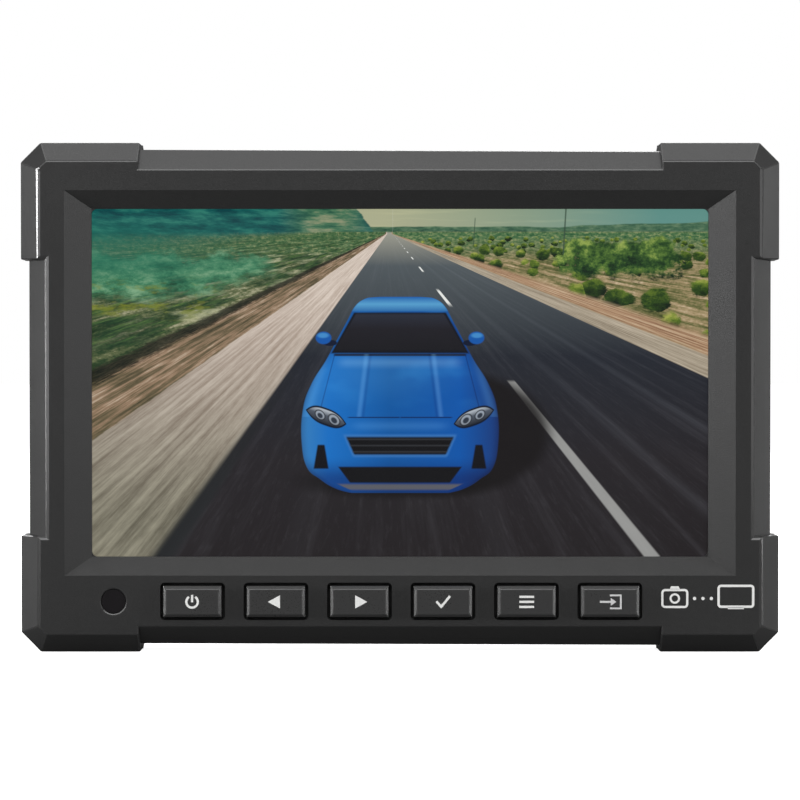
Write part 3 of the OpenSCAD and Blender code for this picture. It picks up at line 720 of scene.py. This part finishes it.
def trapezoid(x, z, z0, z1, half_0, half_1, soft=0.012):
    """1 between heights z0 and z1, where the half width runs from half_0 to half_1."""
    along = (z - z0) / (z1 - z0)
    edge = half_0 + along * (half_1 - half_0) - abs(x)
    return edge.step(-soft, soft) * z.band(z0, z1, soft)


def paint_car(canvas, x, z):
    """A made-up blue car, from its shadow up: body, roof and glass, bonnet, lamps and nose."""
    x = x / CAR
    z = z / CAR
    across = abs(x)
    canvas.cover(oval(x, z, 0.46, -0.5, 1.04, 0.62, 0.1) * 0.92, rgb(17, 13, 12))
    canvas.cover(oval(x, z, 0.0, -0.98, 0.95, 0.17, 0.3) * 0.9, rgb(14, 11, 10))
    # the outline, as half the car's width at each height
    low = -1.1
    high = 0.86
    share = (z - low) / (high - low)
    half = share.curve(
        (0.0, 0.5), (0.03, 0.68), (0.07, 0.8), (0.13, 0.93), (0.24, 0.98), (0.44, 0.965), (0.55, 0.89),
        (0.68, 0.735), (0.79, 0.62), (0.88, 0.525), (0.95, 0.45), (0.985, 0.37), (1.0, 0.22)
    )
    body = (half - across).step(-0.008, 0.008) * z.band(low, high, 0.006)
    gloss = noise(x * 2.2, z * 3.6, 2.0, 0.4, seed=21.0)
    stops = (0.0, 52, 124, 184), (0.14, 18, 108, 190), (0.45, 4, 84, 156), (0.8, 2, 82, 164)
    canvas.cover(body, shades((x + 1.0) * 0.5, *stops, (1.0, 20, 52, 112)))
    canvas.lighten(body * gloss.step(0.5, 0.72) * z.step(-0.5, 0.3) * 0.3, rgb(46, 110, 140))
    canvas.darken(body * (half - across).band(-0.1, 0.02, 0.06) * 0.6, rgb(110, 130, 160))
    for side in (-1.0, 1.0):
        mirror(canvas, x, z, side)
    # roof and glass
    stops = (0.0, 14, 84, 156), (0.55, 84, 156, 202), (1.0, 22, 92, 168)
    canvas.cover(body * z.band(0.715, 0.86, 0.006), shades((z - 0.7) / 0.16, *stops))
    canvas.cover(trapezoid(x, z, 0.295, 0.705, 0.69, 0.46, 0.012), rgb(10, 14, 22))
    tint = shades((z - 0.3) / 0.4, (0.0, 20, 20, 24), (0.6, 27, 26, 32), (1.0, 40, 44, 56))
    canvas.cover(trapezoid(x, z, 0.325, 0.69, 0.655, 0.44, 0.014), tint)
    bonnet(canvas, x, z, across, body)
    for side in (-1.0, 1.0):
        headlight(canvas, x, z, side)
        intake(canvas, x, z, side)
    nose(canvas, x, z, across, body)


def mirror(canvas, x, z, side):
    """A wing mirror on its arm."""
    arm = oval(x, z, side * 0.7, 0.4, 0.07, 0.03)
    canvas.cover(arm, rgb(8, 20, 44))
    shell = oval(x, z, side * 0.765, 0.45, 0.078, 0.062)
    canvas.cover(shell, rgb(14, 84, 164))
    canvas.cover(oval(x, z, side * 0.77, 0.475, 0.055, 0.025, 0.4) * 0.7, rgb(74, 150, 208))


def bonnet(canvas, x, z, across, body):
    """The bonnet's glow, creases and seams."""
    panel = body * z.band(-0.34, 0.29, 0.004)
    glow = oval(x, z, -0.2, 0.1, 0.6, 0.2, 0.9)
    canvas.lighten(panel * glow * 0.16, rgb(70, 124, 140))
    canvas.cover(body * z.band(0.268, 0.292, 0.006) * across.band(-1.0, 0.66, 0.02), rgb(20, 34, 60))
    canvas.lighten(body * z.band(0.17, 0.24, 0.05) * across.band(-1.0, 0.6, 0.08) * 0.3, rgb(110, 150, 160))
    crease = across - (0.3 + (0.25 - z) * 0.12)
    canvas.darken(panel * crease.band(-0.008, 0.008, 0.02) * 0.5, rgb(120, 150, 190))
    canvas.lighten(panel * crease.band(0.03, 0.05, 0.03) * 0.35, rgb(110, 160, 190))
    seam = across - (0.655 + (0.28 - z) * 0.26)
    canvas.darken(panel * seam.band(-0.004, 0.004, 0.008) * 0.7, rgb(60, 84, 130))
    wing = across - (0.78 + (0.28 - z) * 0.3)
    canvas.lighten(panel * wing.band(-0.05, 0.0, 0.06) * 0.4, rgb(70, 120, 160))


def headlight(canvas, x, z, side):
    """A slim lamp that rises towards the wing, with two round lenses."""
    out = x * side
    lift = z - (out - 0.7) * 0.35
    ends = abs(out - 0.74) / 0.2
    height = (1.0 - ends**3.0) * 0.085
    reach = height - abs(lift + 0.355)
    canvas.cover(reach.step(-0.012, 0.002), rgb(6, 18, 36))
    stops = (0.0, 26, 30, 38), (0.6, 78, 86, 98), (1.0, 186, 194, 202)
    canvas.cover(reach.step(0.008, 0.02), shades((lift + 0.43) / 0.15, *stops))
    for place, size in ((0.66, 1.0), (0.8, 0.86)):
        canvas.cover(oval(out, lift, place, -0.355, 0.062 * size, 0.058 * size, 0.1), rgb(24, 28, 36))
        canvas.cover(oval(out, lift, place, -0.355, 0.05 * size, 0.046 * size, 0.2), rgb(150, 160, 172))
        canvas.cover(oval(out, lift, place, -0.362, 0.032 * size, 0.03 * size, 0.3), rgb(44, 52, 64))


def intake(canvas, x, z, side):
    """A narrow dark slot below a headlight."""
    out = x * side
    slot = trapezoid(out - 0.79, z, -0.86, -0.62, 0.075, 0.035, 0.01)
    canvas.cover(slot, rgb(9, 10, 16))


def nose(canvas, x, z, across, body):
    """The grille, the bumper and the slot under it."""
    canvas.darken(body * z.band(-0.352, -0.34, 0.005) * across.band(0.0, 0.52, 0.02) * 0.8, rgb(40, 60, 100))
    canvas.lighten(body * z.band(-0.46, -0.4, 0.05) * across.band(-1.0, 0.46, 0.1) * 0.2, rgb(90, 150, 190))
    grille = trapezoid(x, z, -0.72, -0.54, 0.46, 0.54, 0.015)
    canvas.cover(trapezoid(x, z, -0.74, -0.52, 0.47, 0.565, 0.02) * 0.8, rgb(60, 122, 190))
    canvas.cover(grille, rgb(8, 8, 10))
    bars = ((z + 0.72) * 16.0).repeat().band(0.35, 0.6, 0.1)
    canvas.cover(grille * bars * 0.55, rgb(56, 58, 62))
    canvas.darken(body * (1.0 - z.step(-0.98, -0.72)) * 0.75, rgb(96, 110, 150))
    canvas.cover(trapezoid(x, z, -1.0, -0.84, 0.5, 0.62, 0.01), rgb(10, 10, 12))
    canvas.cover(trapezoid(x, z, -1.07, -1.015, 0.5, 0.62, 0.015) * 0.9, rgb(92, 92, 94))


def picture(name):
    """The lit screen: antiglare glass over the picture."""
    made = bpy.data.materials.new(name)
    made.use_nodes = True
    tree = made.node_tree
    shader = tree.nodes["Principled BSDF"]
    low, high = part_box("lcd_cell")
    middle = (low + high) / 2
    x, _, z = position(tree)
    x = (x - middle.x) / SCREEN_TALL
    z = (z - middle.z - SCREEN_LIFT) / SCREEN_TALL
    canvas = road_scene(x, z)
    paint_car(canvas, x, z)
    shader.inputs["Base Color"].default_value = (0.004, 0.004, 0.005, 1.0)
    shader.inputs["Specular IOR Level"].default_value = 0.3
    sheen = grain(tree, 5 * MM, 2.0)
    feed(tree, shader.inputs["Roughness"], 0.22 + 0.06 * sheen)
    tree.links.new(canvas.colour, shader.inputs["Emission Color"])
    shader.inputs["Emission Strength"].default_value = 1.0
    return made


# ---------- rounded edges ----------

# Edges less than this far inside the whole object's box, along X or Z, are rounded.
RIM_STEP = 4.3 * MM
# So are those less than this far inside it along X or Z that lie within FACE_DEEP of its front or back.
FACE_STEP = (8.8 * MM, 7.8 * MM)
FACE_DEEP = 3.0 * MM
# How far the back shell's rim stands into the front shell, past the seam, and what is left sharp by it.
SEAM_TONGUE, SEAM_CLEAR = 1.9 * MM, 0.6 * MM
# A little more than the radius of the sensor's hole.
SENSOR_HOLE = 3.3 * MM
# An edge whose faces turn by more than this many degrees is sharp.
SHARP = 18.0
# How wide the roundings are.
HAND_WORN, OUTER_EDGE, HOLE_RIM, CAP_RIM = 1.2 * MM, 0.5 * MM, 0.45 * MM, 0.28 * MM
SHORTEST = 1.0 * MM  # edge that gets one, except on the sensor's hole
CLOSE = 0.05 * MM  # to the front face, so on it


def middle_of(edge):
    """The point halfway along an edge."""
    return (edge.verts[0].co + edge.verts[1].co) / 2


def long_edges(shape, chosen, shortest):
    """The sharp edges of a shape that are long enough to round and lie where chosen says."""
    found = []
    for edge in shape.edges:
        whole = len(edge.link_faces) == 2 and any(face.material_index == 0 for face in edge.link_faces)
        if whole and edge.calc_length() > shortest and chosen(middle_of(edge)):
            if edge.calc_face_angle(0.0) > math.radians(SHARP):
                found.append(edge)
    return found


def soften(node, region, rounds, finish, edge_finish):
    """Stands a copy of a CAD node in its place, with some of its edges rounded and polished.

    Flat facets inside the region are merged before that.
    Each of rounds is a width, the shortest edge rounded to it, and a function that says whether an edge
    with this middle is rounded to it.
    """
    source = frame["nodes"][node]
    shape = bmesh.new()
    shape.from_mesh(source.data)
    bmesh.ops.remove_doubles(shape, verts=shape.verts, dist=0.002 * MM)
    plain = [edge for edge in shape.edges if region(middle_of(edge))]
    bmesh.ops.dissolve_limit(shape, angle_limit=math.radians(0.4), verts=[], edges=plain)
    for width, shortest, chosen in rounds:
        bmesh.ops.bevel(
            shape,
            geom=long_edges(shape, chosen, shortest),
            affect="EDGES",
            offset=width,
            offset_type="WIDTH",
            segments=2,
            profile=0.5,
            material=1,
        )
    for face in shape.faces:
        face.smooth = face.material_index == 0
    for edge in shape.edges:
        edge.smooth = edge.calc_face_angle(0.0) < math.radians(SHARP)
    mesh = bpy.data.meshes.new(node + "_rounded")
    shape.to_mesh(mesh)
    shape.free()
    mesh.materials.append(finish)
    mesh.materials.append(edge_finish)
    piece = add_object(node + "_rounded", mesh)
    flatten = piece.modifiers.new("even_normals", "WEIGHTED_NORMAL")
    flatten.keep_sharp = True
    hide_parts(node)
    return piece


def soften_shells(made):
    """Rounds the outer edges of the two shells, the rim of the sensor's hole, and the keycaps."""
    middle = cad_middle
    half = (cad_high - cad_low) / 2
    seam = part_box("rear_housing")[0].y + SEAM_TONGUE
    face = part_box("front_bezel")[0].y
    low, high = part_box("sensor_lens")
    eye = (low + high) / 2

    def rim(point):
        """Round the sides, where flat facets are merged first: no face there has a hole in it."""
        off = point - middle
        return abs(off.x) > half.x - RIM_STEP or abs(off.z) > half.z - RIM_STEP

    def outer(point):
        """The rim, and the outer part of the front and back faces, away from the seam."""
        off = point - middle
        flat = abs(off.x) > half.x - FACE_STEP[0] or abs(off.z) > half.z - FACE_STEP[1]
        deep = abs(off.y) > half.y - FACE_DEEP
        return (rim(point) or flat and deep) and abs(point.y - seam) > SEAM_CLEAR

    def upright(point):
        """The front face's left and right edges, worn most by hands."""
        off = point - middle
        beside = abs(off.x) > half.x - FACE_STEP[0] and abs(off.z) < half.z - FACE_STEP[1]
        return beside and abs(point.y - face) < CLOSE

    def hole(point):
        """The rim of the hole in front of the sensor's dark window."""
        away = math.hypot(point.x - eye.x, point.z - eye.z)
        return away < SENSOR_HOLE and abs(point.y - face) < CLOSE

    front_rounds = (
        (HAND_WORN, SHORTEST, upright),
        (OUTER_EDGE, SHORTEST, lambda p: outer(p) and not upright(p)),
        (HOLE_RIM, 0.1 * MM, hole),
    )
    back_rounds = ((OUTER_EDGE, SHORTEST, outer),)
    for node, rounds in (("front_bezel", front_rounds), ("rear_housing", back_rounds)):
        piece = soften(node, rim, rounds, made["housing"], made["housing_edge"])
        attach(piece, "housing")
    for key in KEYS:
        node = key + "_button"
        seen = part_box(node)[0].y + 1.5 * MM
        rounds = ((CAP_RIM, SHORTEST, lambda p: p.y < seen),)
        piece = soften(node, lambda p: True, rounds, made["button_cap"], made["key_edge"])
        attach(piece, key + "_key")


# ---------- printed symbols ----------


def stroke(points, width, closed=False):
    """The four sided faces of a line of this width along the points, with mitred corners."""
    spots = [Vector(p) for p in points]
    count = len(spots)
    sides = []
    for i, spot in enumerate(spots):
        before = spots[i - 1] if closed or i else None
        after = spots[(i + 1) % count] if closed or i < count - 1 else None
        ways = [(spot - before).normalized()] if before else []
        ways += [(after - spot).normalized()] if after else []
        way = sum(ways, Vector((0, 0))).normalized()
        out = Vector((-way.y, way.x)) * width / 2 / way.dot(ways[0])
        sides.append((spot + out, spot - out))
    last = count if closed else count - 1
    pairs = [(sides[i], sides[(i + 1) % count]) for i in range(last)]
    return [(a[0], a[1], b[1], b[0]) for a, b in pairs]


def arc(radius, start, end, count, middle=(0.0, 0.0)):
    """Points along an arc, with its angles in degrees."""
    turns = [math.radians(start + (end - start) * i / count) for i in range(count + 1)]
    return [(middle[0] + radius * math.cos(t), middle[1] + radius * math.sin(t)) for t in turns]


def box_outline(width, height, radius, middle=(0.0, 0.0)):
    """Points round a rectangle with rounded corners."""
    points = []
    for turn, sx, sz in ((0, 1, 1), (90, -1, 1), (180, -1, -1), (270, 1, -1)):
        spot = (middle[0] + sx * (width / 2 - radius), middle[1] + sz * (height / 2 - radius))
        points += arc(radius, turn, turn + 90, 4, spot)
    return points


def print_symbol(name, body, faces, middle, front, finish):
    """A symbol of printed ink, in millimetres round its middle, on the flat that lies at front."""
    thick, sunk = 0.05 * MM, 0.02 * MM
    mesh = bpy.data.meshes.new(name)
    shape = bmesh.new()
    for face in faces:
        places = [(middle[0] + x * MM, front - thick + sunk, middle[1] + z * MM) for x, z in face]
        shape.faces.new([shape.verts.new(place) for place in places])
    bmesh.ops.remove_doubles(shape, verts=shape.verts, dist=0.001 * MM)
    grown = bmesh.ops.extrude_face_region(shape, geom=shape.faces[:], use_keep_orig=True)
    moved = [v for v in grown["geom"] if isinstance(v, bmesh.types.BMVert)]
    bmesh.ops.translate(shape, verts=moved, vec=(0.0, thick, 0.0))
    bmesh.ops.recalc_face_normals(shape, faces=shape.faces)
    shape.to_mesh(mesh)
    shape.free()
    piece = add_object(name, mesh)
    mesh.materials.append(finish)
    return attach(piece, body)


def power_symbol():
    """A ring open at its top, with a short upright line."""
    return stroke(arc(1.43, 122, 418, 26), 0.56) + stroke([(0, 1.72), (0, -0.1)], 0.56)


def arrow_symbol(way):
    """A triangle that points left or right, and sits a little to that side."""
    return [[(1.95 * way, 0.0), (-1.05 * way, 1.65), (-1.05 * way, -1.65)]]


def tick_symbol():
    """A tick."""
    return stroke([(-1.65, 0.1), (-0.45, -1.2), (1.75, 1.45)], 0.6)


def menu_symbol():
    """Three bars."""
    return [f for z in (-1.25, 0.0, 1.25) for f in stroke([(-1.83, z), (1.83, z)], 0.56)]


def input_symbol():
    """An arrow going into a frame that is open on its left."""
    rim = [(0.1, 1.35), (0.1, 1.62), (2.6, 1.62), (2.6, -1.62), (0.1, -1.62), (0.1, -1.35)]
    head = [[(1.5, 0.0), (0.1, 0.95), (0.1, -0.95)]]
    return stroke(rim, 0.42) + stroke([(-2.6, 0.0), (0.1, 0.0)], 0.5) + head


def maker_symbol():
    """A camera, three dots and a screen, where a maker would print a name."""
    camera = stroke(box_outline(6.2, 4.2, 0.7, (-8.0, -0.3)), 0.55, True)
    lens = stroke(arc(1.05, 0, 345, 23, (-8.0, -0.3)), 0.5, True)
    hood = [[(-9.3, 2.0), (-8.9, 2.75), (-7.1, 2.75), (-6.7, 2.0)]]
    dots = [arc(0.42, 0, 342, 19, (x, -0.3)) for x in (-3.1, -1.0, 1.1)]
    screen = stroke(box_outline(8.6, 5.2, 0.6, (7.2, 0.25)), 0.6, True)
    foot = [[(5.2, -2.95), (5.2, -2.5), (9.2, -2.5), (9.2, -2.95)]]
    return camera + lens + hood + dots + screen + foot


# How far the maker's symbol's middle is from the right edge, and above the middle of the keys.
MAKER_INSET, MAKER_RISE = 18.5 * MM, 1.0 * MM


def print_symbols():
    """Prints a symbol on each key, and the maker's on the housing."""
    white = ink("ink_white", rgb(222, 222, 220))
    grey = ink("ink_grey", rgb(196, 196, 196))
    shapes = {
        "power": power_symbol(),
        "left": arrow_symbol(-1.0),
        "right": arrow_symbol(1.0),
        "select": tick_symbol(),
        "menu": menu_symbol(),
        "input": input_symbol(),
    }
    for key, faces in shapes.items():
        low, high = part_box(key + "_button")
        middle = ((low.x + high.x) / 2, (low.z + high.z) / 2)
        finish = grey if key == "input" else white
        print_symbol(key + "_symbol", key + "_key", faces, middle, low.y, finish)
    low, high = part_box("front_bezel")
    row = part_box("power_button")
    middle = (high.x - MAKER_INSET, (row[0].z + row[1].z) / 2 + MAKER_RISE)
    print_symbol("maker_symbol", "housing", maker_symbol(), middle, low.y, white)


def cap_front(key):
    """Where a keycap's front face lies, along Y."""
    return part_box(key + "_button")[0].y


# ---------- finishes on the pieces ----------

BLACK = rgb(38, 38, 38)


def finishes():
    """One finish for each material slot of the record, and two for the rounded edges."""
    # keycaps get painted shade behind this depth, in the gap round them
    keycap_shade_from = cap_front("power") + 2 * MM
    return {
        "housing": moulded("housing_plastic", BLACK, 0.34 * MM, 18e-6, 0.33),
        # the rounded edges: a smoother polish, and a colour lighter than the housing's as painted highlight
        "housing_edge": moulded("polished_edge", rgb(48, 48, 48), 0.34 * MM, 2e-6, 0.18),
        "button_cap": moulded("keycap_plastic", rgb(48, 48, 48), 0.22 * MM, 4e-6, 0.30, keycap_shade_from),
        # the keycaps' rounded edges: a smoother polish, and a colour lighter than the cap's as painted
        # highlight
        "key_edge": moulded("polished_key_edge", rgb(58, 58, 58), 0.22 * MM, 2e-6, 0.2),
        "black_screw": coated_steel("black_oxide", rgb(38, 38, 40)),
        "steel_screw": metal("zinc_plate", rgb(190, 194, 200), 0.24),
        "brass": metal("turned_brass", rgb(198, 156, 84), 0.22, 0.1 * MM, (8.0, 1.0, 8.0), rgb(120, 84, 40)),
        "label": blank_label("label_film"),
        "foam": foam("gasket_foam"),
        "sheet_steel": spangled_steel("zinc_coated_sheet"),
        "lcd_glass": picture("lit_picture"),
        "white_plastic": smooth_plastic("white_plastic", rgb(224, 224, 218), 0.4),
        "film": clear_sheet("prism_film", rgb(228, 230, 234), 0.12 * MM),
        "acrylic": clear_sheet("dotted_acrylic", rgb(218, 232, 238), 0.6 * MM),
        "polyimide": flex("polyimide_film"),
        "led": lamp("backlight_lamp"),
        "circuit_board": board("green_board"),
        "black_plastic": smooth_plastic("black_nylon", rgb(34, 34, 35), 0.36),
        "dark_window": dark_window("infrared_window"),
        "aluminium_can": metal("drawn_aluminium", rgb(198, 200, 204), 0.26, 0.1 * MM, (1.0, 6.0, 1.0)),
        "ferrite": moulded("sintered_ferrite", rgb(70, 68, 66), 0.12 * MM, 20e-6, 0.6),
        "nickel": metal("nickel_plate", rgb(198, 194, 184), 0.16, 0.1 * MM, (8.0, 1.0, 8.0)),
        "gold_contact": metal("gold_flash", rgb(222, 180, 98), 0.2),
        "speaker_paper": paper("cone_paper"),
        "lead_insulation": insulation("lead_insulation"),
    }


def dress_nodes(made):
    """Gives every CAD node the finish of its slot."""
    for part in frame["record"]["subparts"]:
        node = frame["nodes"][part["node"]]
        node.data.materials.clear()
        node.data.materials.append(made[part["material_slot"]])


# ---------- studio ----------


def facing(place, aim):
    """The turn of a light or camera that looks from place to aim."""
    return (Vector(aim) - Vector(place)).to_track_quat("-Z", "Y").to_euler()


def softbox(name, place, aim, size, bright):
    """A flat light at place that faces aim. Sizes are in metres, and bright is its radiance."""
    light = bpy.data.lights.new(name, "AREA")
    light.shape = "RECTANGLE"
    light.size, light.size_y = size
    light.energy = bright * math.pi * size[0] * size[1]
    box = add_object(name, light)
    box.location = place
    box.rotation_euler = facing(place, aim)
    box.visible_camera = False


def around(azimuth, elevation, distance, middle):
    """A point seen from the middle at this azimuth, where 0 is in front, and elevation, in degrees."""
    a, e = math.radians(azimuth), math.radians(elevation)
    return middle + distance * Vector((math.sin(a) * math.cos(e), -math.cos(a) * math.cos(e), math.sin(e)))


def light_studio():
    """Strips that draw the edges, wings for the slanted bands, cheeks for the recess, and soft boxes."""
    middle = cad_middle
    for side, strip, wing, cheek in ((-1, 44.0, 0.1, 4.2), (1, 40.0, 0.1, 1.8)):
        softbox(f"strip_{side:+d}", around(side * 76, 4, 1.0, middle), middle, (0.095, 0.7), strip)
        softbox(f"wing_{side:+d}", around(side * 105, 6, 1.0, middle), middle, (0.7, 0.7), wing)
        softbox(f"cheek_{side:+d}", around(side * 43, 12, 1.0, middle), middle, (0.25, 0.7), cheek)
    softbox("top", middle + Vector((0.0, 0.0, 0.9)), middle, (1.1, 0.55), 1.6)
    softbox("front", around(0, 38, 1.5, middle), middle, (1.6, 0.6), 4.2)
    softbox("back", around(180, 40, 1.3, middle), middle, (1.4, 0.5), 7.0)


def light_world():
    """White where the camera sees it; for everything else a soft room, dark below."""
    world = bpy.data.worlds.new("studio")
    bpy.context.scene.world = world
    world.use_nodes = True
    tree = world.node_tree
    tree.nodes.clear()
    place = add_node(tree, "TexCoord")
    parts = add_node(tree, "SeparateXYZ")
    tree.links.new(place.outputs["Generated"], parts.inputs[0])
    height = Num(tree, parts.outputs[2])
    room = ramp(tree, height * 0.5 + 0.5, (0.42, (0.03, 0.03, 0.03, 1)), (0.62, (0.26, 0.26, 0.26, 1)))
    path = add_node(tree, "LightPath")
    canvas = Canvas(tree, room)
    canvas.cover(Num(tree, path.outputs["Is Camera Ray"]), (1.0, 1.0, 1.0, 1.0))
    sky = add_node(tree, "Background")
    tree.links.new(canvas.colour, sky.inputs["Color"])
    out = add_node(tree, "OutputWorld")
    tree.links.new(sky.outputs[0], out.inputs["Surface"])


def lay_floor():
    """A white floor that takes a faint shadow and stays dark in the object's reflections."""
    half = 8.0
    mesh = bpy.data.meshes.new("floor")
    corners = [(-half, -half), (half, -half), (half, half), (-half, half)]
    mesh.from_pydata([(x, y, cad_low.z) for x, y in corners], [], [(0, 1, 2, 3)])
    floor = add_object("floor", mesh)
    finish = bpy.data.materials.new("white_paper")
    finish.use_nodes = True
    tree = finish.node_tree
    tree.nodes.clear()
    speck = grain(tree, 3 * MM, 3.0)
    seen = add_node(tree, "BsdfDiffuse")
    feed(tree, seen.inputs["Color"], scaled(tree, (0.8, 0.8, 0.8), 0.97 + 0.06 * speck))
    glow = add_node(tree, "Emission")
    glow.inputs["Strength"].default_value = 0.94
    both = add_node(tree, "AddShader")
    tree.links.new(seen.outputs[0], both.inputs[0])
    tree.links.new(glow.outputs[0], both.inputs[1])
    dark = add_node(tree, "BsdfDiffuse")
    dark.inputs["Color"].default_value = (0.16, 0.16, 0.16, 1.0)
    path = add_node(tree, "LightPath")
    choose = add_node(tree, "MixShader")
    tree.links.new(path.outputs["Is Camera Ray"], choose.inputs["Fac"])
    tree.links.new(dark.outputs[0], choose.inputs[1])
    tree.links.new(both.outputs[0], choose.inputs[2])
    out = add_node(tree, "OutputMaterial")
    tree.links.new(choose.outputs[0], out.inputs["Surface"])
    mesh.materials.append(finish)


CAMERA_ELEVATION = 0.8  # degrees
CAMERA_DISTANCE = 0.7
CAMERA_LENS = 124.43  # millimetres, on a film 36 wide
AIM_DROP = 0.7 * MM  # how far below the middle it looks


def place_camera():
    """A long lens a little above the middle, straight in front."""
    middle = cad_middle - Vector((0.0, 0.0, AIM_DROP))
    data = bpy.data.cameras.new("camera")
    data.sensor_width = 36.0
    data.lens = CAMERA_LENS
    data.dof.use_dof = False
    camera = add_object("camera", data)
    camera.location = around(0, CAMERA_ELEVATION, CAMERA_DISTANCE, middle)
    camera.rotation_euler = facing(camera.location, middle)
    bpy.context.scene.camera = camera


bpy.context.scene.view_settings.view_transform = "Standard"
place_camera()
light_world()
light_studio()
lay_floor()
made = finishes()
dress_nodes(made)
soften_shells(made)
print_symbols()
